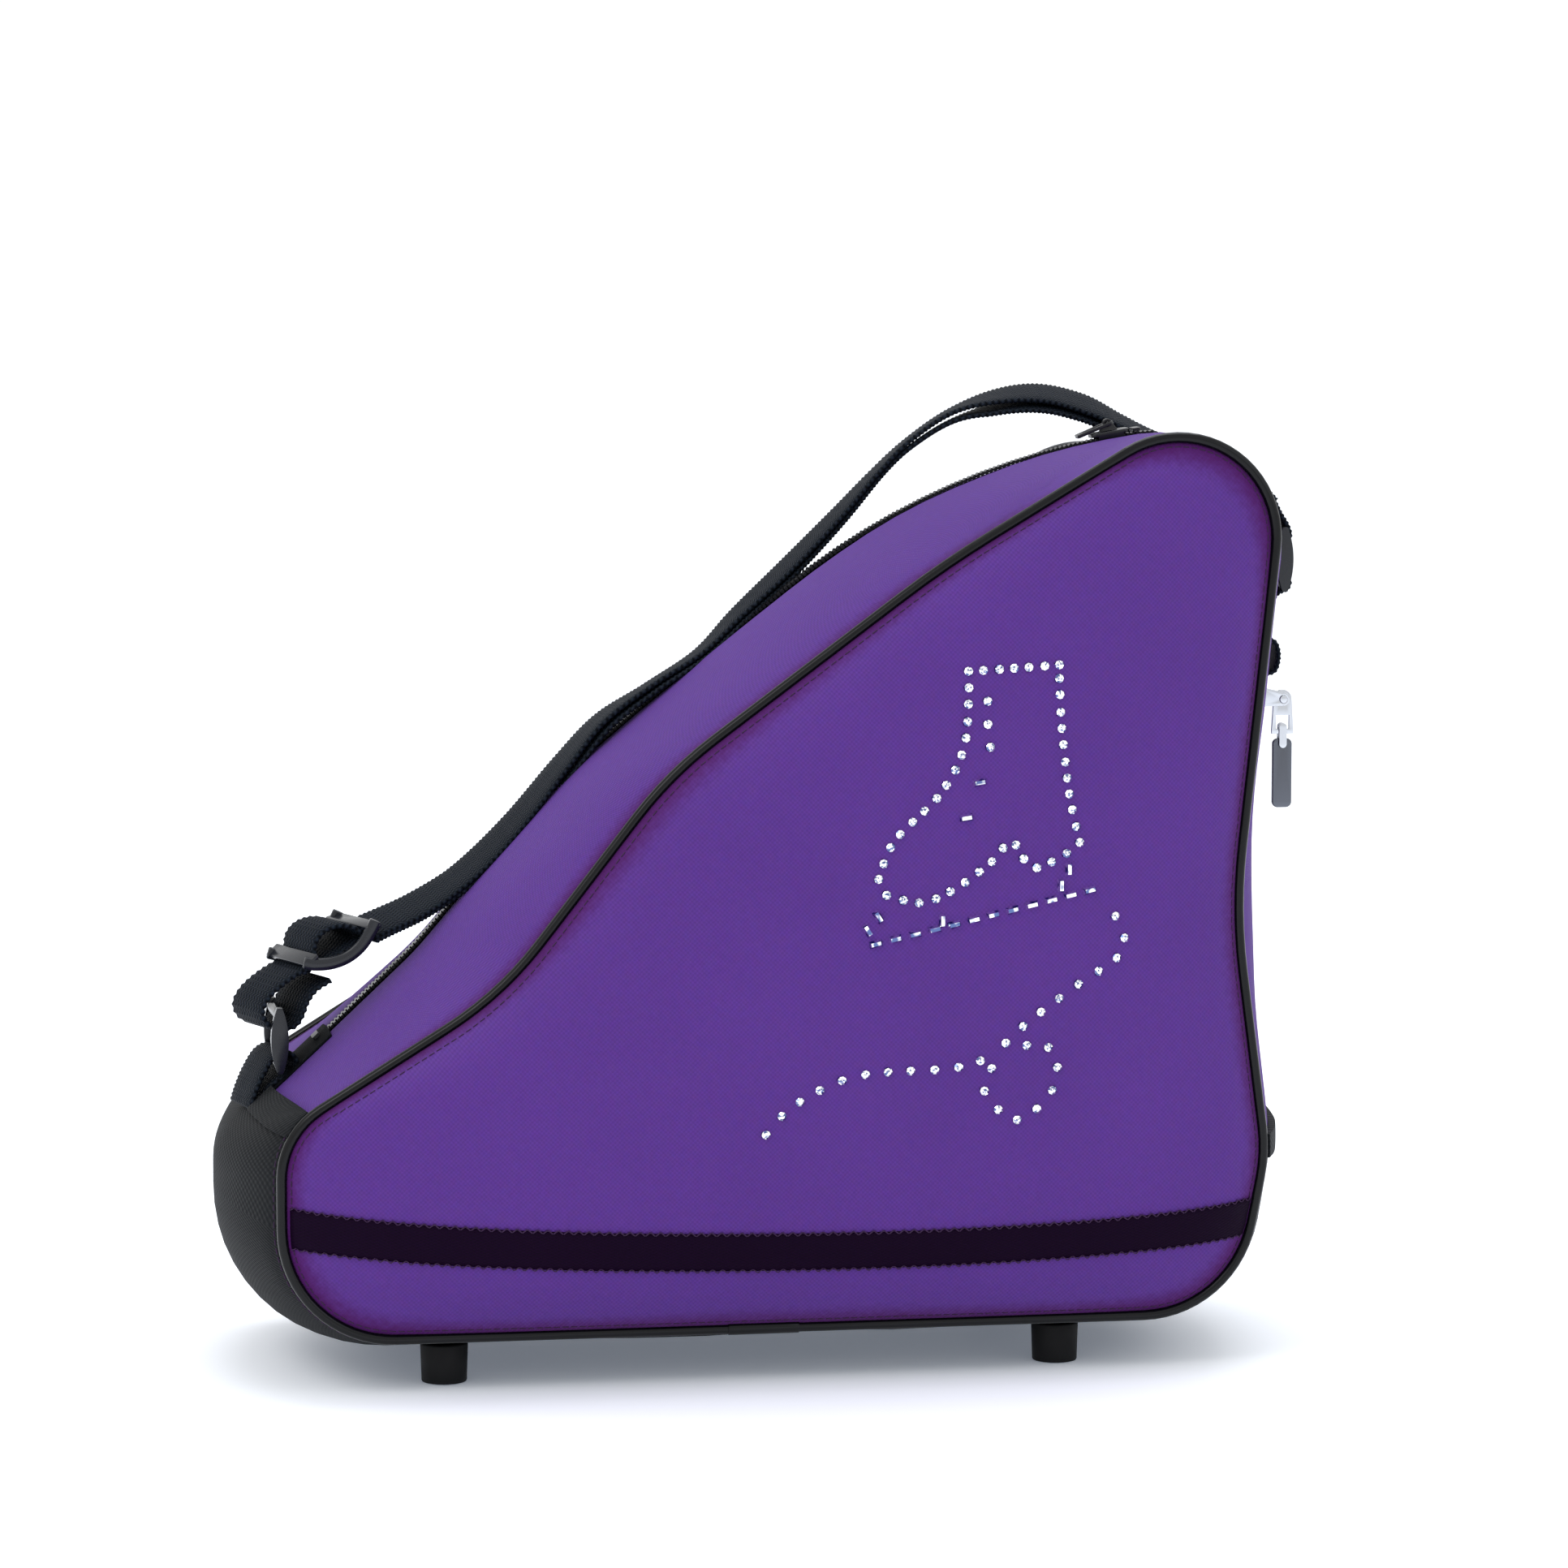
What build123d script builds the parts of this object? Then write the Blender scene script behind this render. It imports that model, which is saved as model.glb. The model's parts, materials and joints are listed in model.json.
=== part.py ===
from build123d import *
import os
from math import atan2, cos, degrees, pi, radians, sin, tan

# Boot-shaped bag for one pair of figure skates, millimetres.
# +X runs from the toe to the heel, -Y is the decorated front panel, +Z is up, Z 0 is the floor.
os.makedirs("parts", exist_ok=True)

# ---- driving dimensions -------------------------------------------------
gusset_width = 160.0        # between the two piped seams
panel_bulge = 24.0          # how far each big panel domes past its seam
fabric = 1.2                # outer canvas
foam = 4.0                  # padding behind the canvas
lining = 0.6                # inner cloth
layer_gap = 0.1             # between sewn layers
piping_radius = 2.0
foot_radius = 9.0
foot_height = 12.2
foot_spacing_x = 234.0
foot_spacing_y = 110.0
foot_centre_x = -12.0
screw_radius = 2.0
screw_clearance = 0.2
board_thickness = 3.0
webbing_width = 25.0
webbing = 1.7               # thickness of one layer
strap_gap = 0.4             # between the two strap layers
strap_side = 28.0           # the strap lies this far behind the middle at the peak
coil_half = 3.2             # half width of the closed zipper coil
coil_split = 0.8            # half of the gap that the slider's post runs in
slot_half = 7.5             # half width of the slot in the canvas
tape_half = 16.0
tape = 1.0
slider_length = 15.0
slider_half = 4.5
running_fit = 0.08
soft_gap = 0.3              # between soft pieces on different bodies
ring_inside = 26.6          # clear width for the webbing
ring_height = 25.0
ring_arm = 4.0
ring_bar_radius = 2.0
ring_lens = 6.6
crystal_radius = 1.95
crystal_height = 1.5
baguette_length = 5.0
baguette_width = 2.7

# The side view of a laced boot: (x, z, corner radius), anticlockwise from the toe's lower corner.
seam_corners = [
    (-191.5, 21.5, 42), (168.5, 21.0, 42), (180.5, 82, 60), (168, 175, 200), (191, 386, 38),
    (56.5, 306, 400), (-46.5, 230, 150), (-110, 149, 130), (-191.5, 99, 30),
]
# The same boot along the middle of the gusset, where the stuffed bag is fullest.
ridge_corners = [
    (-212, 8.5, 57), (185, 8.5, 50), (197, 82, 60), (187, 182, 660), (206, 358.2, 46),
    (70.6, 340.3, 280), (-72, 226.8, 120), (-134, 157, 150), (-209, 86, 25),
]
PEAK, SLOPE, WAIST = 4, 5, 3      # corners named for what they are
fullness = 0.58                   # how much of the ridge's swell is reached 50 mm off the middle
swell_at = 50.0
back_drop = 14.0                  # the strap pulls the back of the peak down
pivot = (0.0, 150.0)              # the domes shrink towards this point

half = gusset_width / 2
gusset_end = half - piping_radius - 0.2
panel_inset = piping_radius + 0.2
wall = fabric + foam + lining + 2 * layer_gap
toe_hem_z = 105.0
heel_hem_z = 88.0
zip_end_x = 157.0


def between(share, drop=0.0):
    """Corners part of the way from the seam to the ridge, with the peak pulled down."""
    mixed = []
    for i, (low, high) in enumerate(zip(seam_corners, ridge_corners)):
        x, z, r = [a + share * (b - a) for a, b in zip(low, high)]
        fall = {PEAK: drop, SLOPE: drop / 2}.get(i, 0.0)
        mixed.append((x, z - fall, r))
    return mixed


def outline(corners, y, inset=0.0, shrink=1.0):
    """The boot's outline as a face in the plane at y."""
    px, pz = pivot
    points = [(px + shrink * (x - px), pz + shrink * (z - pz)) for x, z, _ in corners]
    with BuildSketch(Plane.XZ.offset(-y)) as face:
        with BuildLine():
            FilletPolyline(*points, radius=[shrink * r for _, _, r in corners], close=True)
        make_face()
        if inset:
            offset(amount=-inset)
    return face.sketch


def gusset_form(inset):
    """Everything inside the crowned gusset, inset from its outer face."""
    with BuildPart() as form:
        for y, share, drop in (
            (-gusset_end, 0, 0), (-swell_at, fullness, 0), (0, 1, 0),
            (swell_at, fullness, 0.85 * back_drop), (gusset_end, 0, back_drop),
        ):
            add(outline(between(share, drop), y, inset))
        loft()
    return form.part


def dome_form(inset, side):
    """Everything inside one domed panel, from the seam plane outwards."""
    drop = back_drop if side > 0 else 0.0
    with BuildPart() as form:
        for depth, shrink in ((0.0, 1.0), (0.55, 0.9), (1.0, 0.6)):
            y = half + max(depth * panel_bulge - inset * min(1, 2 * depth), 0)
            add(outline(between(0, drop), side * y, panel_inset + inset, shrink))
        loft()
    return form.part


def export(name, part):
    part.label = name
    export_step(part, f"parts/{name}.step")


def arc_at(corners, i):
    """Centre, radius and the two end angles of the round corner i."""
    (ax, az, _), (bx, bz, r), (cx, cz, _) = corners[i - 1], corners[i], corners[(i + 1) % len(corners)]
    come = atan2(bz - az, bx - ax)
    go = atan2(cz - bz, cx - bx)
    turn = (go - come + pi) % (2 * pi) - pi
    side = 1 if turn > 0 else -1
    reach = r * tan(abs(turn) / 2)
    start = (bx - reach * cos(come), bz - reach * sin(come))
    centre = (start[0] - side * r * sin(come), start[1] + side * r * cos(come))
    first = atan2(start[1] - centre[1], start[0] - centre[0])
    return centre, r, first, first + turn


# ---- canvas shell --------------------------------------------------------
forms = {}
depths = {
    "outer": 0.0, "inner": fabric, "foam_out": fabric + layer_gap,
    "foam_in": fabric + layer_gap + foam, "lining_out": fabric + 2 * layer_gap + foam, "room": wall,
    "tape_out": fabric + layer_gap, "tape_in": fabric + layer_gap + tape,
    "coil_out": -0.6, "coil_in": fabric + tape, "band_in": -layer_gap, "band_out": -layer_gap - 1.6,
}
for name, depth in depths.items():
    forms[name] = gusset_form(depth)

far = 600.0


def region(x0, x1, y0, y1, z0, z1):
    """A block between two corners, to cut the gusset into its panels."""
    with BuildPart() as block:
        with Locations(((x0 + x1) / 2, (y0 + y1) / 2, (z0 + z1) / 2)):
            Box(x1 - x0, y1 - y0, z1 - z0)
    return block.part


def layer(out, inner, keep, cuts=()):
    """The part of one gusset layer that lies in the blocks to keep and outside the cuts."""
    with BuildPart() as piece:
        add(forms[out])
        add(forms[inner], mode=Mode.SUBTRACT)
        with BuildPart(mode=Mode.PRIVATE) as kept:
            for block in keep:
                add(block)
        add(kept.part, mode=Mode.INTERSECT)
        for block in cuts:
            add(block, mode=Mode.SUBTRACT)
    return piece.part


top_x = (-far, zip_end_x)
base_zone = [region(-far, 0, -far, far, -far, toe_hem_z), region(0, far, -far, far, -far, heel_hem_z)]
front_zone = [region(*top_x, -far, -slot_half, toe_hem_z + layer_gap, far)]
rear_zone = [region(*top_x, slot_half, far, toe_hem_z + layer_gap, far)]
heel_zone = [region(zip_end_x + layer_gap, far, -far, far, heel_hem_z + layer_gap, far)]
heel_slot_z = (102.0, 258.0)
heel_slot = region(150, far, -slot_half, slot_half, *heel_slot_z)

foot_places = [
    (foot_centre_x + across * foot_spacing_x / 2, deep * foot_spacing_y / 2) for across in (-1, 1) for deep in (-1, 1)
]
with BuildPart() as screw_holes:
    with Locations(*foot_places):
        Cylinder(screw_radius + screw_clearance, 60, align=(Align.CENTER, Align.CENTER, Align.MIN))
holes = [screw_holes.part]

export("base_wrap", layer("outer", "inner", base_zone, holes))
export("front_zip_gusset", layer("outer", "inner", front_zone))
export("rear_zip_gusset", layer("outer", "inner", rear_zone))
export("heel_gusset", layer("outer", "inner", heel_zone, [heel_slot]))

# the bound edges of the base wrap; the toe one is open where the ring's tab passes
hem_height = 9.0
tab_half = webbing_width / 2 + 1.0
toe_hem = [region(-far, -100, -far, far, toe_hem_z - hem_height, toe_hem_z)]
heel_hem = [region(100, far, -far, far, heel_hem_z - hem_height, heel_hem_z)]
tab_pass = region(-far, 0, -tab_half, tab_half, 0, far)
export("toe_hem", layer("band_out", "band_in", toe_hem, [tab_pass]))
export("heel_hem", layer("band_out", "band_in", heel_hem))

# padding and lining stop beside the zipper tapes
main_strip = region(-181, zip_end_x + 12, -tape_half - 1, tape_half + 1, 110, far)
heel_strip = region(140, far, -tape_half - 1, tape_half + 1, 92, 268)
everywhere = [region(-far, far, -far, far, -far, far)]
export("gusset_foam", layer("foam_out", "foam_in", everywhere, [main_strip, heel_strip] + holes))
export("gusset_lining", layer("lining_out", "room", everywhere, [main_strip, heel_strip] + holes))

for side, word in ((-1, "front"), (1, "back")):
    shells = [dome_form(depths[name], side) for name in
              ("outer", "inner", "foam_out", "foam_in", "lining_out", "room")]
    for (outer, inner), kind in zip(zip(shells[::2], shells[1::2]), ("panel", "foam", "lining")):
        with BuildPart() as piece:
            add(outer)
            add(inner, mode=Mode.SUBTRACT)
        export(f"{word}_{kind}", piece.part)
        if kind == "panel" and side < 0:
            front_canvas = piece.part

    # satin ribbon across the lower part of the panel
    skin_out = dome_form(-0.9, side)
    skin_in = dome_form(-0.1, side)
    with BuildPart() as ribbon:
        with BuildSketch(Plane.XZ.offset(0)):
            with BuildLine():
                upper = ThreePointArc((-196, 73), (15, 60), (186, 66))
                lower = ThreePointArc((182, 52), (15, 46), (-196, 58))
                Line(upper @ 1, lower @ 0)
                Line(lower @ 1, upper @ 0)
            make_face()
        extrude(amount=far, both=True)
        add(skin_out, mode=Mode.INTERSECT)
        add(skin_in, mode=Mode.SUBTRACT)
        add(region(-far, far, *sorted((0, side * (half + piping_radius + 0.2))), -far, far), mode=Mode.SUBTRACT)
    export(f"{word}_ribbon", ribbon.part)

    # vinyl piping in the seam, and the tape that binds the seam inside
    drop = back_drop if side > 0 else 0.0
    with BuildPart() as piping:
        ring_path = outline(between(0, drop), side * half).faces()[0].outer_wire()
        start = ring_path @ 0
        with BuildSketch(Plane(origin=start, z_dir=ring_path % 0)):
            Circle(piping_radius)
        sweep(path=ring_path)
    export(f"{word}_piping", piping.part)
    with BuildPart() as binding:
        with BuildSketch(Plane.XZ.offset(-side * (half - layer_gap))):
            add(outline(between(0, drop), 0, panel_inset + 0.2))
            add(outline(between(0, drop), 0, panel_inset + 10), mode=Mode.SUBTRACT)
        extrude(amount=side * (half - gusset_end - 2 * layer_gap))
    export(f"{word}_seam_binding", binding.part)

# ---- crystals on the front panel ----------------------------------------
# a figure skate with a ribbon of stones trailing from its blade; (x, z) on the panel
boot_lines = {
    "cuff": ([(61, 268), (79, 269), (95, 270)], 7),
    "back": ([(95, 265), (96, 246), (99, 222), (103, 204)], 11),
    "heel_sole": ([(98, 200), (85, 195), (77, 205), (70, 198), (56, 188), (43, 183), (30, 186)], 14),
    "front": ([(27, 192), (33, 206), (50, 223), (59, 240), (61, 262)], 14),
    "laces": ([(68, 257), (68, 249), (69, 240)], 3),
    "trail": ([(117, 176), (120, 163), (101, 150), (84, 138), (75, 129), (91, 128), (94, 114), (80, 101),
               (67, 112), (70, 124), (54, 121), (19, 119), (-4, 109), (-15, 98)], 29),
}
baguette_rows = [
    ((26, 168), (107, 186), 12), ((65, 227), (60, 214), 2), ((27, 178), (23, 173), 2),
]
baguette_tilts = [12.5, 8, -57]
blade_struts = [((51, 176), 90), ((96, 188), 90), ((99, 194), 90)]
dome_top = -(half + panel_bulge + 20)


def on_panel(x, z, turn=0.0):
    """A plane seated on the front canvas, facing outwards."""
    spot, normal = front_canvas.find_intersection_points(Axis((x, dome_top, z), (0, 1, 0)))[0]
    seat = spot + normal * 0.15
    along = Vector(cos(radians(turn)), 0, sin(radians(turn)))
    along = along - normal * along.dot(normal)
    return Plane(origin=seat, x_dir=along, z_dir=normal)


with BuildPart() as round_crystals:
    for points, count in boot_lines.values():
        guide = Spline(*[(x, 0, z) for x, z in points])
        for i in range(count):
            at = guide @ (i / (count - 1))
            with BuildSketch(on_panel(at.X, at.Z)):
                RegularPolygon(crystal_radius, 8)
            extrude(amount=crystal_height, taper=32)
export("round_crystals", round_crystals.part)

with BuildPart() as baguette_crystals:
    seats = list(blade_struts)
    for (start, end, count), tilt in zip(baguette_rows, baguette_tilts):
        for i in range(count):
            share = i / (count - 1)
            seats.append(((start[0] + share * (end[0] - start[0]), start[1] + share * (end[1] - start[1])), tilt))
    for (x, z), tilt in seats:
        with BuildSketch(on_panel(x, z, tilt)):
            Rectangle(baguette_length, baguette_width)
        extrude(amount=crystal_height, taper=30)
export("baguette_crystals", baguette_crystals.part)

# ---- base: board, feet, screws ------------------------------------------
board_z = wall + 18.0      # clear of the lining where the base rises to the seams
with BuildPart() as base_board:
    with BuildSketch(Plane.XY.offset(board_z)):
        with Locations((foot_centre_x, 0)):
            RectangleRounded(foot_spacing_x + 56, foot_spacing_y + 14, 8)
        with Locations(*foot_places):
            Circle(screw_radius + screw_clearance, mode=Mode.SUBTRACT)
    extrude(amount=board_thickness)
export("base_board", base_board.part)

with BuildPart() as feet:
    with Locations(*foot_places):
        Cylinder(foot_radius, foot_height, align=(Align.CENTER, Align.CENTER, Align.MIN))
    fillet(feet.edges().filter_by(GeomType.CIRCLE).group_by(Axis.Z)[0], 1.2)
    with BuildSketch(Plane.XY.offset(foot_height)):
        with Locations(*foot_places):
            Circle(screw_radius + 0.05)
    extrude(amount=-(foot_height - 3), mode=Mode.SUBTRACT)
export("feet", feet.part)

board_top = board_z + board_thickness
washer = 1.0
with BuildPart() as foot_screws:
    with Locations(*[(x, y, 4) for x, y in foot_places]):
        Cylinder(screw_radius, board_top + washer - 4, align=(Align.CENTER, Align.CENTER, Align.MIN))
    with Locations(*[(x, y, board_top + washer) for x, y in foot_places]):
        Cylinder(4, 2.2, align=(Align.CENTER, Align.CENTER, Align.MIN))
    fillet(foot_screws.edges().filter_by(GeomType.CIRCLE).group_by(Axis.Z)[-1], 0.8)
export("foot_screws", foot_screws.part)

with BuildPart() as foot_washers:
    with BuildSketch(Plane.XY.offset(board_top)):
        with Locations(*foot_places):
            Circle(7)
            Circle(screw_radius + 0.05, mode=Mode.SUBTRACT)
    extrude(amount=washer)
export("foot_washers", foot_washers.part)

# ---- zippers -------------------------------------------------------------
main_centre, main_radius, main_low, main_high = arc_at(ridge_corners, SLOPE)
heel_centre, heel_radius, heel_first, heel_last = arc_at(ridge_corners, WAIST)
zip_zone = region(-177, zip_end_x - 1, -far, far, 112, far)
heel_zip_zone = region(150, far, -far, far, 103, 257)


def lanes(inner, outer):
    """Two long blocks, one on each side of the zipper's middle."""
    return [region(-far, far, inner, outer, -far, far), region(-far, far, -outer, -inner, -far, far)]


for name, zone in (("main", zip_zone), ("heel", heel_zip_zone)):
    for kind, out, inner, near, wide in (
        ("tapes", "tape_out", "tape_in", coil_half + 0.2, tape_half),
        ("coil", "coil_out", "coil_in", coil_split, coil_half),
    ):
        with BuildPart() as both:
            add(layer(out, inner, [zone]))
            with BuildPart(mode=Mode.PRIVATE) as strips:
                for lane in lanes(near, wide):
                    add(lane)
            add(strips.part, mode=Mode.INTERSECT)
        export(f"{name}_zip_{kind}", both.part)


def on_arc(centre, radius, angle, outwards):
    """A plane on a zipper's arc: x along the zipper, z away from the bag."""
    spot = Vector(centre[0] + radius * cos(angle), 0, centre[1] + radius * sin(angle))
    normal = Vector(cos(angle), 0, sin(angle)) * outwards
    return Plane(origin=spot, x_dir=normal.cross(Vector(0, 1, 0)), z_dir=normal)


post_half = coil_split - 0.3
plate_low, plate_high = 1.0, 2.5      # the slider's top plate, measured up from the canvas
main_park = main_low + (slider_length / 2 + 3) / main_radius
heel_park_z = 248.0
heel_park = pi - (heel_park_z - heel_centre[1]) / heel_radius
main_plane = on_arc(main_centre, main_radius, main_park, 1)
heel_plane = on_arc(heel_centre, heel_radius, heel_park, -1)


def side_of(plane):
    """The upright plane along the zipper: x along it, y away from the bag, z across."""
    return Plane(origin=plane.origin, x_dir=plane.x_dir, z_dir=plane.x_dir.cross(plane.z_dir))


def slider_body(plane, lug_high, lug_radius, hole, cheeks):
    """A plate over the coil and one under it, the post between them, and cheeks that hold the pull."""
    with BuildPart() as body:
        with BuildSketch(plane.offset(plate_low)):
            RectangleRounded(slider_length, 2 * slider_half, 2.2)
        extrude(amount=plate_high - plate_low)
        with BuildSketch(plane.offset(-0.7)):
            with Locations((0, slider_half - 0.45), (0, 0.45 - slider_half)):
                Rectangle(slider_length - 5, 0.9)
        extrude(amount=plate_low + 1.0)
        with BuildSketch(plane.offset(-4.2)):
            RectangleRounded(slider_length - 1, 2 * slider_half - 1, 2.0)
        extrude(amount=1.3)
        with BuildSketch(plane.offset(-3.0)):
            with Locations((slider_length / 2 - 3, 0)):
                Rectangle(3, 2 * post_half)
        extrude(amount=plate_low + 3.5)
        side = side_of(plane)
        for low, high in cheeks:
            with BuildSketch(side.offset(low)):
                with BuildLine():
                    Polyline((-4, 2), (4, 2), (lug_radius, lug_high), (-lug_radius, lug_high), close=True)
                make_face()
                with Locations((0, lug_high)):
                    Circle(lug_radius)
                    Circle(hole, mode=Mode.SUBTRACT)
            extrude(amount=high - low)
    return body.part


main_pin = 0.9
export("main_slider", slider_body(main_plane, 5.2, 2.0, main_pin + running_fit, [(-1, 1)]))
hinge = side_of(main_plane)
main_hinge = hinge.from_local_coords((0, 5.2, 0))
lie = radians(-13)
pull_along = hinge.x_dir * cos(lie) + hinge.y_dir * sin(lie)
pull_plane = Plane(origin=main_hinge, x_dir=pull_along, z_dir=pull_along.cross(Vector(0, 1, 0)) * -1)
with BuildPart() as main_pull:
    with BuildSketch(pull_plane.offset(-0.6)):
        with Locations((5.5, 0)):
            RectangleRounded(15, 6.4, 1.2)
        with Locations((2, 0)):
            Rectangle(9, 2.6, mode=Mode.SUBTRACT)
    extrude(amount=1.2)
    with BuildSketch(hinge.offset(-3)):
        with Locations((0, 5.2)):
            Circle(main_pin)
    extrude(amount=6)
export("main_pull", main_pull.part)

# the heel zipper's slider carries a rivet, a key-shaped loop, a link and a plain tag
rivet_radius = 1.5
lug_high = 12.8
export("heel_slider", slider_body(heel_plane, lug_high, 2.6, rivet_radius + 0.02, [(-2.1, -1.3), (1.3, 2.1)]))
eye = side_of(heel_plane).from_local_coords((0, lug_high, 0))
ex, ez = eye.X, eye.Z


def rod(x, z, radius, half_length, y=0.0):
    """A round bar across the bag, from side to side."""
    with BuildPart() as bar:
        with BuildSketch(Plane.XZ.offset(half_length - y)):
            with Locations((x, z)):
                Circle(radius)
        extrude(amount=-2 * half_length)
    return bar.part


export("pull_rivet", rod(ex, ez, rivet_radius, 2.5))
loop_half, window_low, window_high, loop_low = 0.9, -11.8, -6.3, -13.6
with BuildPart() as pull_loop:
    with BuildSketch(Plane.XZ.offset(loop_half)):
        with Locations((ex, ez)):
            Circle(3.6)
        with Locations((ex, ez + loop_low + 0.8)):
            Rectangle(8.7, 1.6)
        make_hull()
        with Locations((ex, ez)):
            Circle(rivet_radius + running_fit, mode=Mode.SUBTRACT)
        with Locations((ex, ez + (window_low + window_high) / 2)):
            Rectangle(5.2, window_high - window_low, mode=Mode.SUBTRACT)
    extrude(amount=-2 * loop_half)
export("pull_loop", pull_loop.part)

link_pin = 0.85
link_top, link_low = window_low + link_pin + running_fit, -17.6
with BuildPart() as tag_link:
    for low in (-2.0, 1.2):
        with BuildSketch(Plane.XZ.offset(low)):
            for z in (link_top, link_low):
                with Locations((ex, ez + z)):
                    Circle(1.5)
            make_hull()
        extrude(amount=0.8)
    add(rod(ex, ez + link_top, link_pin, 1.6))
    add(rod(ex, ez + link_low, link_pin, 1.6))
export("tag_link", tag_link.part)

tag_width, tag_length, tag_half = 7.7, 27.0, 1.0
with BuildPart() as pull_tag:
    with BuildSketch(Plane.XZ.offset(tag_half)):
        with Locations((ex, ez + link_low + 2.2 - tag_length / 2)):
            RectangleRounded(tag_width, tag_length, 2.2)
        with Locations((ex, ez + link_low)):
            Circle(link_pin + running_fit, mode=Mode.SUBTRACT)
    extrude(amount=-2 * tag_half)
export("pull_tag", pull_tag.part)

(nose_x, nose_z, _), (instep_x, instep_z, _) = ridge_corners[-1], ridge_corners[-2]
toe_share = 0.48                  # how far along the instep line the zipper starts
toe_slope = Vector(nose_x - instep_x, 0, nose_z - instep_z)
toe_stop = Plane(origin=(instep_x - toe_share * (instep_x - nose_x), 0, instep_z - toe_share * (instep_z - nose_z)),
                 x_dir=toe_slope, z_dir=toe_slope.cross(Vector(0, 1, 0)) * -1)
for name, places in (
    ("main_zip_stops", [on_arc(main_centre, main_radius, main_low, 1), toe_stop]),
    ("heel_zip_stop", [on_arc(heel_centre, heel_radius, heel_first + 2 * pi, -1)]),
):
    with BuildPart() as stops:
        for place in places:
            with BuildSketch(place.offset(0.95)):
                RectangleRounded(3, 2 * coil_half + 1, 0.6)
            extrude(amount=1.2)
    export(name, stops.part)

# ---- rings, tabs and the shoulder strap ----------------------------------
toe_ring_at = (-186.0, 0.0, 124.5)
heel_ring_at = (210.5, strap_side, 300.0)
bar_reach = 9.0


def loop_ring(at):
    """A moulded rectangular loop standing upright, its side arms thickest in the middle."""
    x, y, z = at
    tall = ring_height / 2
    with BuildPart() as ring:
        for low in (ring_inside / 2, -ring_inside / 2 - ring_arm):
            with BuildSketch(Plane.XZ.offset(-(y + low))):
                with Locations((x, z)):
                    with BuildLine():
                        ThreePointArc((x + 1, z - tall), (x + ring_lens / 2, z), (x + 1, z + tall))
                        Line((x + 1, z + tall), (x - 1, z + tall))
                        ThreePointArc((x - 1, z + tall), (x - ring_lens / 2, z), (x - 1, z - tall))
                        Line((x - 1, z - tall), (x + 1, z - tall))
                    make_face()
            extrude(amount=-ring_arm)
        for reach in (bar_reach, -bar_reach):
            add(rod(x, z + reach, ring_bar_radius, ring_inside / 2 + 1, y))
    return ring.part


def webbing_loop(bar, tip, y, inner, tip_half):
    """Webbing folded round a bar and sewn to itself."""
    reach = Vector(tip[0] - bar[0], 0, tip[1] - bar[1])
    lean = degrees(atan2(reach.Z, reach.X))
    with BuildPart() as fold:
        with BuildSketch(Plane.XZ.offset(webbing_width / 2 - y)) as outside:
            with Locations(bar):
                Circle(inner + webbing)
            with Locations(Location((*tip, 0), (0, 0, lean))):
                Rectangle(1.0, 2 * tip_half)
            make_hull()
        extrude(amount=-webbing_width)
        with BuildSketch(Plane.XZ.offset(webbing_width / 2 - y)) as hollow:
            with Locations(bar):
                Circle(inner)
            with Locations((bar[0] + 0.55 * reach.X, bar[1] + 0.55 * reach.Z)):
                Circle(0.2)
            make_hull()
        extrude(amount=-webbing_width, mode=Mode.SUBTRACT)
    return fold.part


layers_half = strap_gap / 2 + webbing
snug, loose = ring_bar_radius + soft_gap, ring_bar_radius + 1.4
tx, ty, tz = toe_ring_at
hx, hy, hz = heel_ring_at
export("toe_ring", loop_ring(toe_ring_at))
export("heel_ring", loop_ring(heel_ring_at))
export("toe_ring_tab", webbing_loop((tx, tz - bar_reach), (-197.0, 101.5), ty, snug, layers_half))
export("heel_ring_tab", webbing_loop((hx, hz - bar_reach), (203.0, 277.0), hy, snug, layers_half))
strap_start, strap_end = (-181.0, 149.5), (208.5, 322.5)
export("strap_toe_loop", webbing_loop((tx, tz + bar_reach), (strap_start[0] - 0.9, strap_start[1] - 1.6),
                                      ty, loose, layers_half))
export("strap_heel_loop", webbing_loop((hx, hz + bar_reach), (strap_end[0] + 1.4, strap_end[1] - 2.8),
                                       hy, loose, layers_half))

# the strap's middle line, from the toe ring over the slope and the peak to the heel ring
strap_line = [
    (strap_start[0], 0, strap_start[1]), (-136, 0, 173.5), (-114, 0, 189), (-62, 0, 249), (-42, 2, 260.5),
    (40, strap_side, 322.5), (84, strap_side, 363), (118, strap_side, 367), (150, strap_side, 353.5),
    (179, strap_side, 349), (200, strap_side, 333.5), (strap_end[0], strap_side, strap_end[1]),
]
strap_bends = [50, 40, 28, 30, 60, 40, 45, 40, 40, 30]
jog = (-50.0, 30.0)               # the strap drifts behind the middle between these two stations
strap_half = webbing_width / 2


def strap_layers():
    """Both layers of the strap: its side view made thick, cut to its plan view."""
    with BuildPart() as layers:
        with BuildSketch(Plane.XZ):
            with BuildLine():
                FilletPolyline(*[(x, z) for x, _, z in strap_line], radius=strap_bends)
            trace(line_width=2 * layers_half)
            with BuildLine():
                FilletPolyline(*[(x, z) for x, _, z in strap_line], radius=strap_bends)
            trace(line_width=strap_gap, mode=Mode.SUBTRACT)
        extrude(amount=100, both=True)
        with BuildSketch(Plane.XY):
            with BuildLine():
                Polyline(
                    (-far, -strap_half), (jog[0], -strap_half), (jog[1], strap_side - strap_half),
                    (far, strap_side - strap_half), (far, strap_side + strap_half),
                    (jog[1] - 8, strap_side + strap_half), (jog[0] - 8, strap_half), (-far, strap_half),
                    close=True,
                )
            make_face()
        extrude(amount=far, mode=Mode.INTERSECT)
    return layers.part.solids().sort_by(lambda solid: solid.center().Z)


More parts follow.
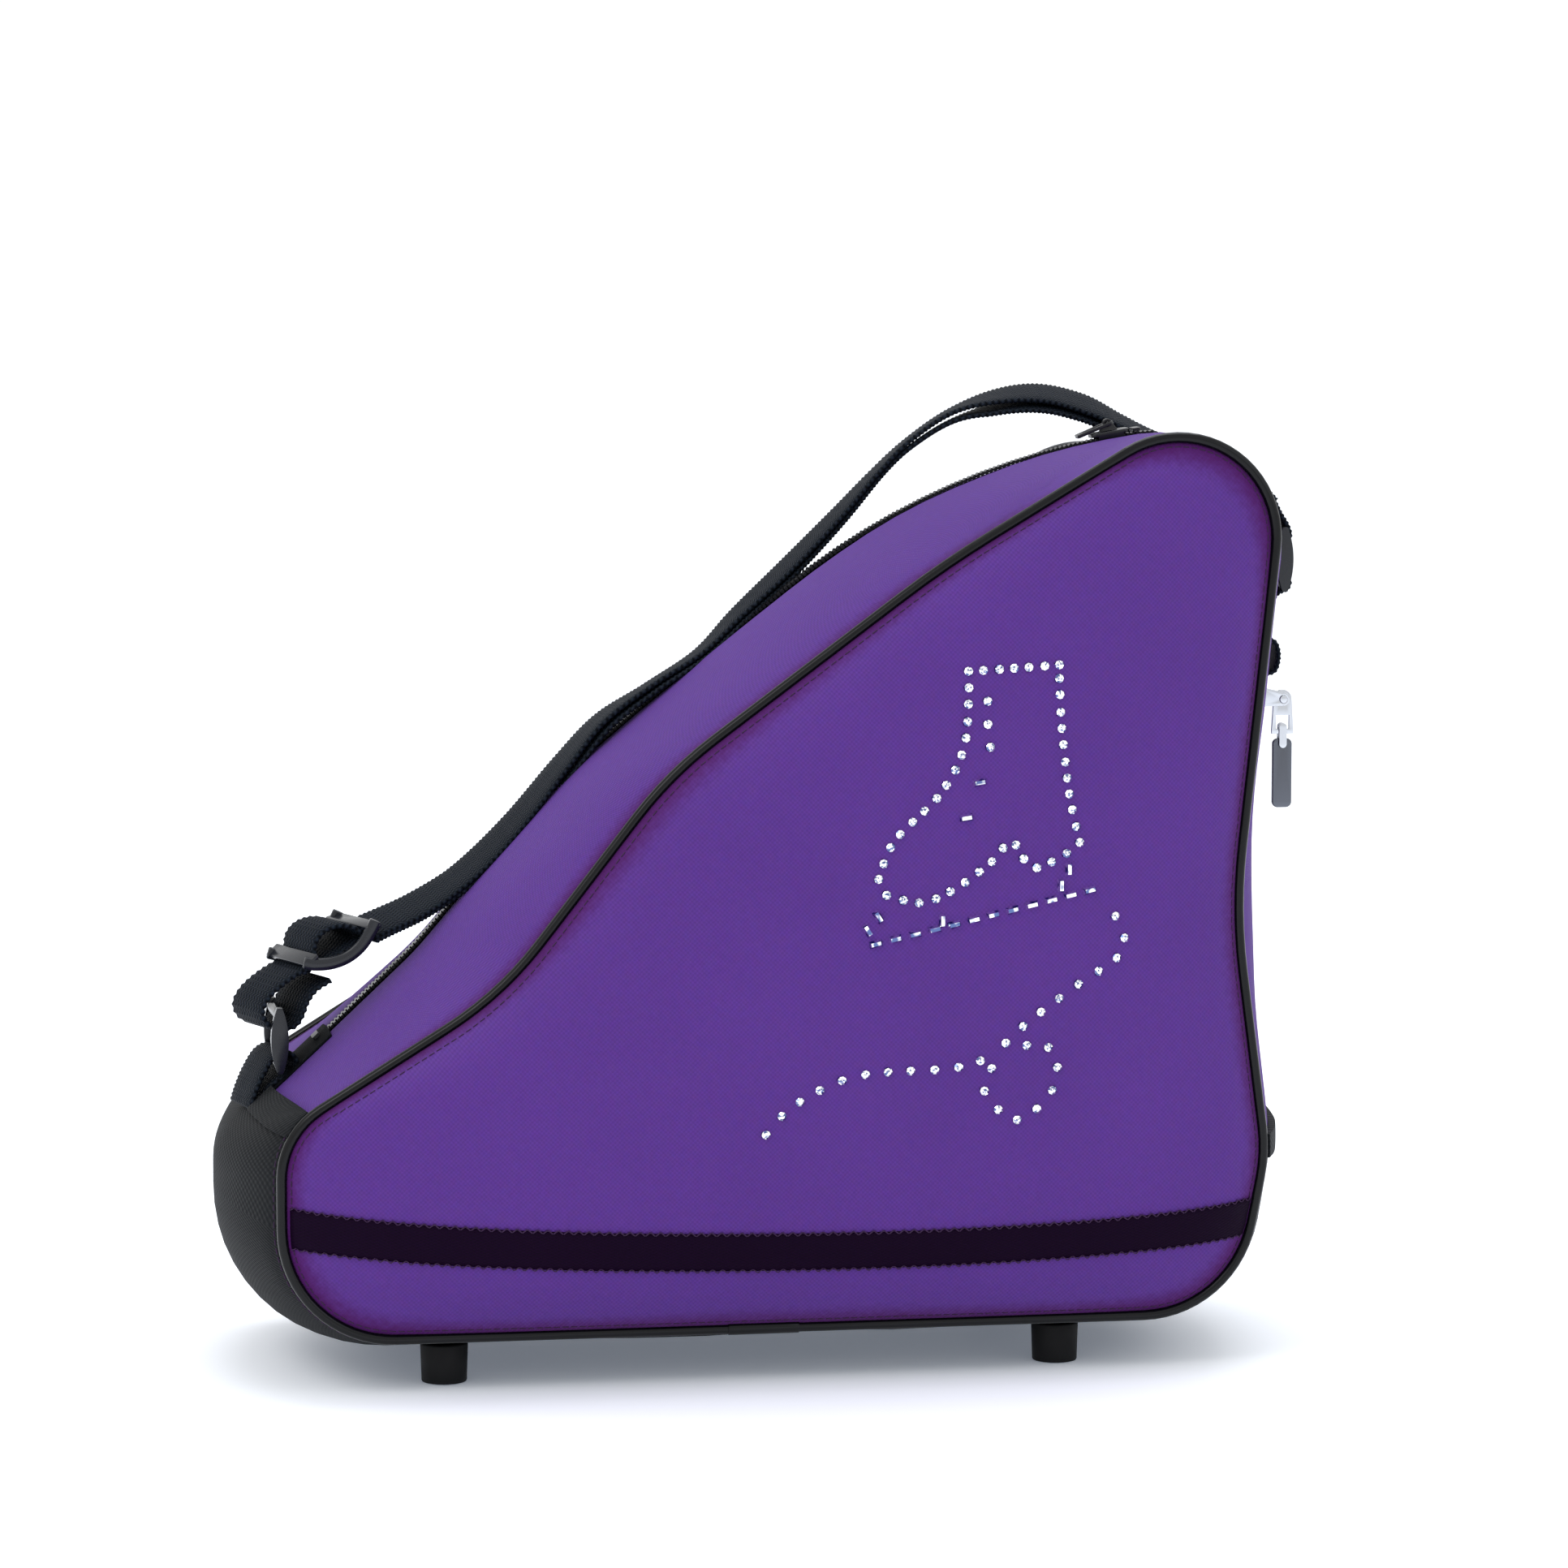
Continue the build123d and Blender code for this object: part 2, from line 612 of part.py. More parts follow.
layer_at = (strap_gap + webbing) / 2
lower_layer, upper_layer = strap_layers()
return_start = region(-136, far, -far, far, -far, far)
with BuildPart() as strap_upper_run:
    add(upper_layer)
export("strap_upper_run", strap_upper_run.part)
with BuildPart() as strap_return_run:
    add(lower_layer)
    add(return_start, mode=Mode.INTERSECT)
export("strap_return_run", strap_return_run.part)

# ---- the slide that sets the strap's length ------------------------------
(ax, _, az), (bx, _, bz) = strap_line[:2]
lean = atan2(bz - az, bx - ax)
glide_at = 17.0
along = Vector(cos(lean), 0, sin(lean))
glide_side = Plane(origin=Vector(ax, 0, az) + along * glide_at, x_dir=along, z_dir=(0, -1, 0))
end_bar, middle_bar = 1.3, 1.5
end_bar_at = (12.5, layers_half + soft_gap + end_bar)
fold_radius = middle_bar + soft_gap
middle_bar_at = strap_gap / 2 - soft_gap - fold_radius - webbing
with BuildPart() as strap_slide:
    for low in (ring_inside / 2, -ring_inside / 2 - ring_arm):
        with BuildSketch(glide_side.offset(low)):
            with Locations((-end_bar_at[0], end_bar_at[1]), end_bar_at):
                Circle(2.1)
            with Locations((0, middle_bar_at)):
                Circle(2.4)
            make_hull()
        extrude(amount=ring_arm)
    with BuildSketch(glide_side.offset(-ring_inside / 2 - 1)):
        with Locations((-end_bar_at[0], end_bar_at[1]), end_bar_at):
            Circle(end_bar)
        with Locations((0, middle_bar_at)):
            Circle(middle_bar)
    extrude(amount=ring_inside + 2)
export("strap_slide", strap_slide.part)

with BuildPart() as strap_slide_loop:
    with BuildSketch(glide_side.offset(-webbing_width / 2)):
        with Locations((0, middle_bar_at)):
            Circle(fold_radius + webbing)
        with Locations((14, -layer_at - 1.0)):
            Rectangle(1, webbing)
        make_hull()
    extrude(amount=webbing_width)
    with BuildSketch(glide_side.offset(-webbing_width / 2)):
        with Locations((0, middle_bar_at)):
            Circle(fold_radius)
    extrude(amount=webbing_width, mode=Mode.SUBTRACT)
export("strap_slide_loop", strap_slide_loop.part)

# the folded webbing that covers the heel zipper's top end
with BuildPart() as heel_zip_tab:
    with BuildSketch(Plane.XZ.offset(9)):
        with Locations((200.2, 263.7)):
            RectangleRounded(6.6, 13, 3)
    extrude(amount=-18)
export("heel_zip_tab", heel_zip_tab.part)

print("main arc centre", main_centre, "radius", main_radius, "park", degrees(main_park))
print("heel arc centre", heel_centre, "radius", heel_radius, "park", degrees(heel_park))
print("main hinge", tuple(main_hinge), "eye", ex, ez, "link", link_top, link_low)
print("glide", tuple(glide_side.origin), "lean", degrees(lean))
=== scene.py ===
import json
from math import acos, cos, pi, radians, sin, tan

import bmesh
import bpy
from bpy.props import FloatProperty, FloatVectorProperty, PointerProperty
from mathutils import Matrix, Vector, noise
from mathutils.bvhtree import BVHTree


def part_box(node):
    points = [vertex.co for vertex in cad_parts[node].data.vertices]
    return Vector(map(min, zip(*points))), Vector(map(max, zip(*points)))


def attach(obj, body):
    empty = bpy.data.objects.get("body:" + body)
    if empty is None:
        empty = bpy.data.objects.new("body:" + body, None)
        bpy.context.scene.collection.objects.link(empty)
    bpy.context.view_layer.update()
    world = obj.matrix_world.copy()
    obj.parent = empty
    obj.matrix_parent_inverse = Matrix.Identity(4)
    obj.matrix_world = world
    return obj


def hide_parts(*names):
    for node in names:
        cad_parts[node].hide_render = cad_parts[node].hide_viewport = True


bl_info = {
    "name": "Skate bag",
    "version": (1, 0, 0),
    "blender": (4, 5, 0),
    "location": "View3D > Sidebar > Skate bag",
    "description": "Builds a boot-shaped padded skate bag with piping, zippers, crystals and a webbing strap",
    "category": "Object",
}

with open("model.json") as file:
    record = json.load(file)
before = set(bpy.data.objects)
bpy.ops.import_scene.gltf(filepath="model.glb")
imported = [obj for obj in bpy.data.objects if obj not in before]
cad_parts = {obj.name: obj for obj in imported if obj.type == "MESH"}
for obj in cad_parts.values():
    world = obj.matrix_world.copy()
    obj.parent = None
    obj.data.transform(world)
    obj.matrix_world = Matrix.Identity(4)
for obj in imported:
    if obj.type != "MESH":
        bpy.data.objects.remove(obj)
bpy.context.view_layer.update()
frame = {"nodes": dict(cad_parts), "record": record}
MM = 0.001


def srgb(code):
    """A hex colour as linear red, green, blue and alpha."""
    channels = [int(code[i:i + 2], 16) / 255 for i in (1, 3, 5)]
    return tuple(c / 12.92 if c <= 0.04045 else ((c + 0.055) / 1.055) ** 2.4 for c in channels) + (1.0,)


def tint(name, description, code):
    return FloatVectorProperty(name=name, description=description, subtype="COLOR", size=4,
                               min=0, max=1, default=srgb(code))


def millimetres(name, description, size):
    return FloatProperty(name=name, description=description, default=size * MM, min=0,
                         unit="LENGTH", subtype="DISTANCE")


class SkateBagColours(bpy.types.PropertyGroup):
    canvas: tint("Canvas", "Polyester canvas of the panels and the upper gusset", "#573386")
    # painted shade: the darker plum that the canvas takes on beside the seams
    shade: tint("Seam shade", "Darker plum painted beside the seams as shade", "#430F4F")
    base: tint("Base cloth", "Coated nylon wrapped round the base", "#0D1014")
    vinyl: tint("Piping", "Vinyl piping round both panels", "#060709")
    ribbon: tint("Ribbon", "Satin ribbon across the panels", "#12001A")
    webbing: tint("Webbing", "Strap, loops and tabs", "#1A2029")
    thread: tint("Thread", "Stitches beside the seams", "#2C0B36")


class SkateBagSizes(bpy.types.PropertyGroup):
    bulge: millimetres("Panel bulge", "How far each panel domes past its seam", 24.0)
    canvas: millimetres("Canvas", "Thickness of the outer canvas", 1.2)
    padding: millimetres("Padding", "Canvas and foam together", 5.0)
    rib: millimetres("Webbing rib", "Spacing of the ribs across the strap", 1.7)
    stitch: millimetres("Stitch", "Spacing of the stitches beside the seams", 3.2)
    tooth: millimetres("Tooth", "Spacing of the zipper's coil turns", 1.8)


# ---- the bag's form -------------------------------------------------------
# the side view of a laced boot, (x, z, corner radius) in millimetres, anticlockwise from the toe
SEAM = [
    (-191.5, 21.5, 42), (168.5, 21.0, 42), (180.5, 82, 60), (168, 175, 200), (191, 386, 38),
    (56.5, 306, 400), (-46.5, 230, 150), (-110, 149, 130), (-191.5, 99, 30),
]
RIDGE = [
    (-212, 8.5, 57), (185, 8.5, 50), (197, 82, 60), (187, 182, 660), (206, 358.2, 46),
    (70.6, 340.3, 280), (-72, 226.8, 120), (-134, 157, 150), (-209, 86, 25),
]
PEAK, SLOPE = 4, 5
BACK_DROP = 14.0
HALF = 80.0
CROWN_END = 77.8
SEAM_EDGE = 79.2
PIVOT = Vector((0, 150))
CORNER_STEPS, SIDE_STEPS = 12, 12
ROUND = len(SEAM) * (CORNER_STEPS + SIDE_STEPS)
TOE_HEM, HEEL_HEM = 105.0, 88.0
ZIP_END = 157.0
SLOT = 7.5
SLEEVE_RADIUS, SLEEVE_LENGTH = 2.55, 27
STONE_RADIUS = 1.95
BAGUETTE = (5.0, 2.7, 1.5)
FOOT_RADIUS, FOOT_TALL = 9.0, 15.2      # the feet run on up into the base


def rounded(corners):
    """Points round an outline: the same number on each corner and on each side."""
    bends = []
    for i, (x, z, radius) in enumerate(corners):
        here = Vector((x, z))
        come = (here - Vector(corners[i - 1][:2])).normalized()
        go = (Vector(corners[(i + 1) % len(corners)][:2]) - here).normalized()
        turn = acos(come.dot(go))
        reach = radius * tan(turn / 2)
        centre = here + (go - come).normalized() * radius / cos(turn / 2)
        bends.append((here - come * reach, here + go * reach, centre, turn))
    points = []
    for i, (start, end, centre, turn) in enumerate(bends):
        for k in range(CORNER_STEPS):
            t = k / CORNER_STEPS
            spoke = (start - centre) * sin((1 - t) * turn) + (end - centre) * sin(t * turn)
            points.append(centre + spoke / sin(turn))
        following = bends[(i + 1) % len(bends)][0]
        points += [end.lerp(following, k / SIDE_STEPS) for k in range(SIDE_STEPS)]
    return points


def between(share, drop=0.0):
    """The outline part of the way from the seam to the ridge, with the peak pulled down."""
    mixed = []
    for i, (low, high) in enumerate(zip(SEAM, RIDGE)):
        x, z, radius = [a + share * (b - a) for a, b in zip(low, high)]
        mixed.append((x, z - {PEAK: drop, SLOPE: drop / 2}.get(i, 0.0), radius))
    return rounded(mixed)


def inset(points, depth):
    """The outline moved inwards."""
    moved = []
    for i, point in enumerate(points):
        along = (points[(i + 1) % len(points)] - points[i - 1]).normalized()
        moved.append(point + Vector((-along.y, along.x)) * depth)
    return moved


def blurred(points, passes):
    """The outline with its corners softened."""
    for _ in range(passes):
        points = [(points[i - 1] + 2 * p + points[(i + 1) % len(points)]) / 4 for i, p in enumerate(points)]
    return points


def lengths(points):
    """How far along a path each point is, in its own units."""
    far = [0.0]
    for a, b in zip(points, points[1:]):
        far.append(far[-1] + (b - a).length)
    return far


def crown(y):
    """The gusset's outline at y: fullest in the middle, lower at the back of the peak."""
    u = min(abs(y) / CROWN_END, 1)
    drop = BACK_DROP * (1 - (1 - u) ** 1.84) if y > 0 else 0.0
    return between((1 - u ** 1.6) ** 0.8, drop)


# ---- mesh helpers ---------------------------------------------------------
def surface(across, down, place, cloth, edge=None):
    """A grid of across by down faces, laid where place says, with its cloth measured in millimetres."""
    bm = bmesh.new()
    uv = bm.loops.layers.uv.new("UVMap")
    # the edge value is how far each point lies from the seam; it places the painted seam shade
    rim = bm.verts.layers.float.new("edge")
    bmesh.ops.create_grid(bm, x_segments=across, y_segments=down, size=0.5)
    station = {}
    for vert in bm.verts:
        i, j = round((vert.co.x + 0.5) * across), round((vert.co.y + 0.5) * down)
        station[vert] = i, j
        vert[rim] = edge(i, j) if edge else 1.0
    for face in bm.faces:
        for loop in face.loops:
            loop[uv].uv = Vector(cloth(*station[loop.vert])) * MM
    for vert, (i, j) in station.items():
        vert.co = place(i, j)
    bmesh.ops.remove_doubles(bm, verts=bm.verts, dist=0.01)
    return bm


def outwards(bm, centre=(0, 0, 150)):
    """Turns the faces of a shell away from its middle."""
    middle = Vector(centre)
    bmesh.ops.recalc_face_normals(bm, faces=bm.faces)
    if sum(f.normal.dot(f.calc_center_median() - middle) * f.calc_area() for f in bm.faces) < 0:
        bmesh.ops.reverse_faces(bm, faces=bm.faces)


def cut(bm, planes):
    """Scores the mesh along planes given as (axis, place)."""
    for axis, place in planes:
        normal = Vector((0, 0, 0))
        normal[axis] = 1
        bmesh.ops.bisect_plane(bm, geom=bm.verts[:] + bm.edges[:] + bm.faces[:], dist=0.01,
                               plane_co=normal * place, plane_no=normal)


def keep(bm, wanted):
    """Leaves only the faces whose middle is wanted."""
    spare = [f for f in bm.faces if not wanted(*f.calc_center_median())]
    bmesh.ops.delete(bm, geom=spare, context="FACES")


def piece(name, bm, finish, body="bag", slot=None, stands_for=(), smooth=True, thick=0.0, grow=-1, bevel=0.0):
    """Makes a finished object of a mesh in millimetres, and hangs it on its body."""
    bmesh.ops.scale(bm, vec=(MM, MM, MM), verts=bm.verts)
    mesh = bpy.data.meshes.new(name)
    bm.to_mesh(mesh)
    bm.free()
    if smooth:
        mesh.shade_smooth()
    mesh.materials.append(finish)
    obj = bpy.data.objects.new(name, mesh)
    bpy.context.scene.collection.objects.link(obj)
    if thick:
        wall = obj.modifiers.new("Thickness", "SOLIDIFY")
        wall.thickness = thick * MM
        wall.offset = grow
        wall.use_even_offset = False
    if bevel:
        soft = obj.modifiers.new("Edges", "BEVEL")
        soft.width = bevel * MM
        soft.segments = 2
        soft.limit_method = "ANGLE"
        soft.angle_limit = radians(40)
    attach(obj, body)
    if stands_for:
        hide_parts(*stands_for)
    return obj


def smooth_line(points, spacing):
    """Evenly spaced points on a smooth curve through the given ones, of any number of values each."""
    points = [Vector(p) for p in points]
    dense = []
    for i in range(len(points) - 1):
        a, b, c, d = points[max(i - 1, 0)], points[i], points[i + 1], points[min(i + 2, len(points) - 1)]
        for k in range(24):
            t = k / 24
            dense.append(0.5 * ((2 * b) + (c - a) * t + (2 * a - 5 * b + 4 * c - d) * t * t
                                + (3 * b - a - 3 * c + d) * t ** 3))
    dense.append(points[-1])
    return evenly(dense, spacing)


def evenly(dense, spacing):
    """The same line with its points a set distance apart."""
    far = lengths([p.xyz if len(p) > 3 else p for p in dense])
    count = max(2, round(far[-1] / spacing))
    line, k = [], 0
    for i in range(count + 1):
        want = far[-1] * i / count
        while k < len(far) - 2 and far[k + 1] < want:
            k += 1
        step = far[k + 1] - far[k] or 1
        line.append(dense[k].lerp(dense[k + 1], (want - far[k]) / step))
    return line


# a strap's section: across its width, through its thickness
def strap_section(width, thick):
    w, t = width / 2, thick / 2
    return [(-w, -0.4 * t), (-w, 0.4 * t), (-w + 0.5, t), (-w / 3, t), (w / 3, t), (w - 0.5, t),
            (w, 0.4 * t), (w, -0.4 * t), (w - 0.5, -t), (w / 3, -t), (-w / 3, -t), (-w + 0.5, -t)]


def webbing_strip(line, rib, width=25.0, thick=1.7, rise=0.26, skew=lambda x: 0.0):
    """A band along a line of (x, y, z) or (x, y, z, tilt in degrees), ribbed every rib millimetres.

    skew says how far its near edge is pulled towards the heel, for each millimetre of width."""
    section = strap_section(width, thick)
    line = evenly(line, rib / 2)
    spots = [p.xyz if len(p) > 3 else p for p in line]
    far = lengths(spots)
    frames = []
    for i, point in enumerate(line):
        ahead = (spots[min(i + 1, len(spots) - 1)] - spots[max(i - 1, 0)]).normalized()
        side = Vector((0, 1, 0)) - ahead * ahead.y
        side.normalize()
        if len(point) > 3:
            side = Matrix.Rotation(radians(point[3]), 3, ahead) @ side
        frames.append((side, ahead.cross(side)))
    around = [a for a, _ in section] + [section[0][0]]

    def place(i, j):
        a, b = section[j % len(section)]
        side, up = frames[i]
        spot = spots[i] + side * a + up * b * (1 + (rise if i % 2 else -rise))
        spot.x -= skew(spots[i].x) * (spot.y - spots[i].y)
        return spot

    bm = surface(len(line) - 1, len(section), place, lambda i, j: (far[i], around[j]))
    ends = [e for e in bm.edges if e.is_boundary]
    bmesh.ops.holes_fill(bm, edges=ends)
    bmesh.ops.recalc_face_normals(bm, faces=bm.faces)
    return bm


def webbing_piece(name, strip, node, body="bag"):
    """A finished strip of webbing that stands for a CAD node."""
    return piece(name, strip, MATERIALS["webbing"], body, "webbing", (node,))


def add_stitch(bm, at, along, up, length=2.2, radius=0.24):
    """One stitch: a short six-sided thread, a little sunk."""
    side = along.cross(up)
    turn = Matrix((side, up, along)).transposed().to_4x4()
    bmesh.ops.create_cone(bm, cap_ends=True, segments=6, radius1=radius, radius2=radius, depth=length,
                          matrix=Matrix.Translation(at) @ turn)


def softened(node, body, finish, width):
    """A copy of a CAD node with its hard edges rounded."""
    bm = bmesh.new()
    bm.from_mesh(frame["nodes"][node].data)
    bmesh.ops.scale(bm, vec=(1 / MM, 1 / MM, 1 / MM), verts=bm.verts)
    bmesh.ops.remove_doubles(bm, verts=bm.verts, dist=0.004)
    bmesh.ops.dissolve_limit(bm, angle_limit=radians(1.5), verts=bm.verts, edges=bm.edges)
    sharp = [e for e in bm.edges if len(e.link_faces) == 2 and e.calc_face_angle() > radians(35)]
    bmesh.ops.bevel(bm, geom=sharp, offset=width, offset_type="OFFSET", affect="EDGES", segments=3,
                    profile=0.5, material=-1, clamp_overlap=True)
    bmesh.ops.triangulate(bm, faces=bm.faces)
    slot = next(s["material_slot"] for s in frame["record"]["subparts"] if s["node"] == node)
    return piece(node + "_finished", bm, finish, body, slot, (node,))


# ---- materials ------------------------------------------------------------
def add(tree, kind, settings=None, **inputs):
    """Adds a node with its settings, and links or sets its inputs; an underscore stands for a space."""
    node = tree.nodes.new(kind)
    for key, value in (settings or {}).items():
        setattr(node, key, value)
    for key, value in inputs.items():
        socket = node.inputs[int(key[1:])] if key[1:].isdigit() else node.inputs[key.replace("_", " ")]
        if isinstance(value, bpy.types.NodeSocket):
            tree.links.new(value, socket)
        else:
            socket.default_value = value
    return node


def blank(name):
    """A material with only its output, and that output's tree."""
    material = bpy.data.materials.new(name)
    material.use_nodes = True
    material.node_tree.nodes.clear()
    return material, material.node_tree


def finish_off(tree, **inputs):
    shader = add(tree, "ShaderNodeBsdfPrincipled", **inputs)
    add(tree, "ShaderNodeOutputMaterial", Surface=shader.outputs["BSDF"])


def darker(colour, share):
    return tuple(c * share for c in colour[:3]) + (1.0,)


def ramp(tree, value, stops):
    """A colour ramp with its stops given as (place, grey)."""
    node = add(tree, "ShaderNodeValToRGB", Fac=value)
    node.color_ramp.elements[0].position, node.color_ramp.elements[1].position = stops[0][0], stops[1][0]
    for element, (_, grey) in zip(node.color_ramp.elements, stops):
        element.color = (grey, grey, grey, 1)
    return node.outputs["Color"]


def threads(tree, coords, pitch_u, pitch_v):
    """Height of a plain weave with its threads that far apart in metres, from -1 to 1."""
    split = add(tree, "ShaderNodeSeparateXYZ", Vector=coords)
    waves = []
    for axis, pitch in (("X", pitch_u), ("Y", pitch_v)):
        angle = add(tree, "ShaderNodeMath", {"operation": "MULTIPLY"},
                    _0=split.outputs[axis], _1=2 * pi / pitch)
        waves.append(add(tree, "ShaderNodeMath", {"operation": "SINE"}, _0=angle.outputs[0]).outputs[0])
    return add(tree, "ShaderNodeMath", {"operation": "MULTIPLY"}, _0=waves[0], _1=waves[1]).outputs[0]


def woven(name, colour, pitch, rough, depth=0.12, shade=None, sheen=0.04, contrast=0.16, spec=0.2):
    """Woven cloth: threads a real distance apart, slightly uneven dye, painted light and shade in the weave,
    painted shade by the seams.
    """
    material, tree = blank(name)
    coords = add(tree, "ShaderNodeUVMap", {"uv_map": "UVMap"}).outputs["UV"]
    weave = threads(tree, coords, pitch[0] * MM, pitch[1] * MM)
    place = add(tree, "ShaderNodeTexCoord").outputs["Object"]
    cloudy = add(tree, "ShaderNodeTexNoise", Vector=place, Scale=14.0, Detail=3.0, Roughness=0.6)
    slub = add(tree, "ShaderNodeTexNoise", Vector=place, Scale=420.0, Detail=2.0, Roughness=0.5)
    # painted shade and highlight: the weave's hollows are coloured darker and its crests lighter, by contrast
    light = add(tree, "ShaderNodeMapRange", Value=weave, _1=-1.0, _2=1.0, _3=0.0, _4=1.0)
    tone = add(tree, "ShaderNodeMix", {"data_type": "RGBA"}, Factor=light.outputs["Result"],
               _6=darker(colour, 1 - contrast), _7=darker(colour, 1 + contrast / 2))
    fleck = add(tree, "ShaderNodeMix", {"data_type": "RGBA", "blend_type": "MULTIPLY"}, Factor=0.22,
                _6=tone.outputs[2], _7=slub.outputs["Color"])
    uneven = ramp(tree, cloudy.outputs["Fac"], ((0.3, 0.93), (0.7, 1.0)))
    dye_and_seam_shade = add(tree, "ShaderNodeMix", {"data_type": "RGBA", "blend_type": "MULTIPLY"}, Factor=1.0,
               _6=fleck.outputs[2], _7=uneven).outputs[2]
    # painted shade: close to the seams the canvas turns to the seam shade colour, where the padding rolls
    # down into the piping
    if shade:
        edge = add(tree, "ShaderNodeAttribute", {"attribute_name": "edge"}).outputs["Fac"]
        ragged = add(tree, "ShaderNodeMath", {"operation": "MULTIPLY_ADD"}, _0=slub.outputs["Fac"],
                     _1=0.05, _2=edge).outputs[0]
        near = add(tree, "ShaderNodeMapRange", {"interpolation_type": "SMOOTHSTEP"}, Value=ragged,
                   _1=0.03, _2=0.12, _3=0.9, _4=0.0)
        dye_and_seam_shade = add(tree, "ShaderNodeMix", {"data_type": "RGBA"}, Factor=near.outputs["Result"],
                   _6=dye_and_seam_shade, _7=shade).outputs[2]
    height = add(tree, "ShaderNodeMath", {"operation": "MULTIPLY_ADD"},
                 _0=slub.outputs["Fac"], _1=0.8, _2=weave)
    bump = add(tree, "ShaderNodeBump", Strength=0.55, Distance=depth * MM, Height=height.outputs[0])
    finish_off(tree, Base_Color=dye_and_seam_shade, Roughness=rough, Sheen_Weight=sheen, Sheen_Roughness=0.5,
               IOR=1.28, Specular_IOR_Level=spec, Normal=bump.outputs["Normal"])
    return material


def hard(name, colour, rough, metallic=0.0, grain=900.0, depth=0.01, spread=0.08, ior=1.45,
         stretch=None):
    """A moulded, plated or painted surface: fine grain in its height, slight wear in its gloss."""
    material, tree = blank(name)
    place = add(tree, "ShaderNodeTexCoord").outputs["Object"]
    if stretch:
        place = add(tree, "ShaderNodeMapping", Vector=place, Scale=stretch).outputs["Vector"]
    fine = add(tree, "ShaderNodeTexNoise", Vector=place, Scale=grain, Detail=2.0)
    wear = add(tree, "ShaderNodeTexNoise", Vector=place, Scale=60.0, Detail=4.0, Roughness=0.65)
    gloss = add(tree, "ShaderNodeMapRange", Value=wear.outputs["Fac"], _1=0.3, _2=0.7,
                _3=max(rough - spread, 0.02), _4=rough + spread)
    mottled = ramp(tree, wear.outputs["Fac"], ((0.3, 0.9), (0.7, 1.0)))
    tone = add(tree, "ShaderNodeMix", {"data_type": "RGBA", "blend_type": "MULTIPLY"}, Factor=1.0,
               _6=colour, _7=mottled)
    bump = add(tree, "ShaderNodeBump", Strength=0.5, Distance=depth * MM, Height=fine.outputs["Fac"])
    settings = {} if metallic else {"IOR": ior}
    finish_off(tree, Base_Color=tone.outputs[2], Roughness=gloss.outputs["Result"], Metallic=metallic,
               Normal=bump.outputs["Normal"], **settings)
    return material


def cut_glass(name):
    """Foil backed cut glass with painted reflections: each facet is painted white or cool blue-grey by the
    way it faces and where it sits.
    """
    material, tree = blank(name)
    facing = add(tree, "ShaderNodeNewGeometry").outputs["True Normal"]
    place = add(tree, "ShaderNodeTexCoord").outputs["Object"]
    turned = add(tree, "ShaderNodeVectorMath", {"operation": "SCALE"}, _0=facing, Scale=3.0)
    spread = add(tree, "ShaderNodeVectorMath", {"operation": "MULTIPLY_ADD"},
                 _0=place, _1=(260.0, 260.0, 260.0), _2=turned.outputs[0])
    painted_glint = add(tree, "ShaderNodeTexNoise", Vector=spread.outputs[0], Scale=1.6, Detail=0.0)
    level = add(tree, "ShaderNodeMapRange", Value=painted_glint.outputs["Fac"], _1=0.36, _2=0.52, _3=0.0, _4=1.0)
    # painted reflections: some facets white, others a cool blue-grey
    tone = add(tree, "ShaderNodeMix", {"data_type": "RGBA"}, Factor=level.outputs["Result"],
               _6=srgb("#5D6E9E"), _7=srgb("#FFFFFF"))
    finish_off(tree, Base_Color=tone.outputs[2], Roughness=0.06, Metallic=1.0)
    return material


MATERIALS = {}


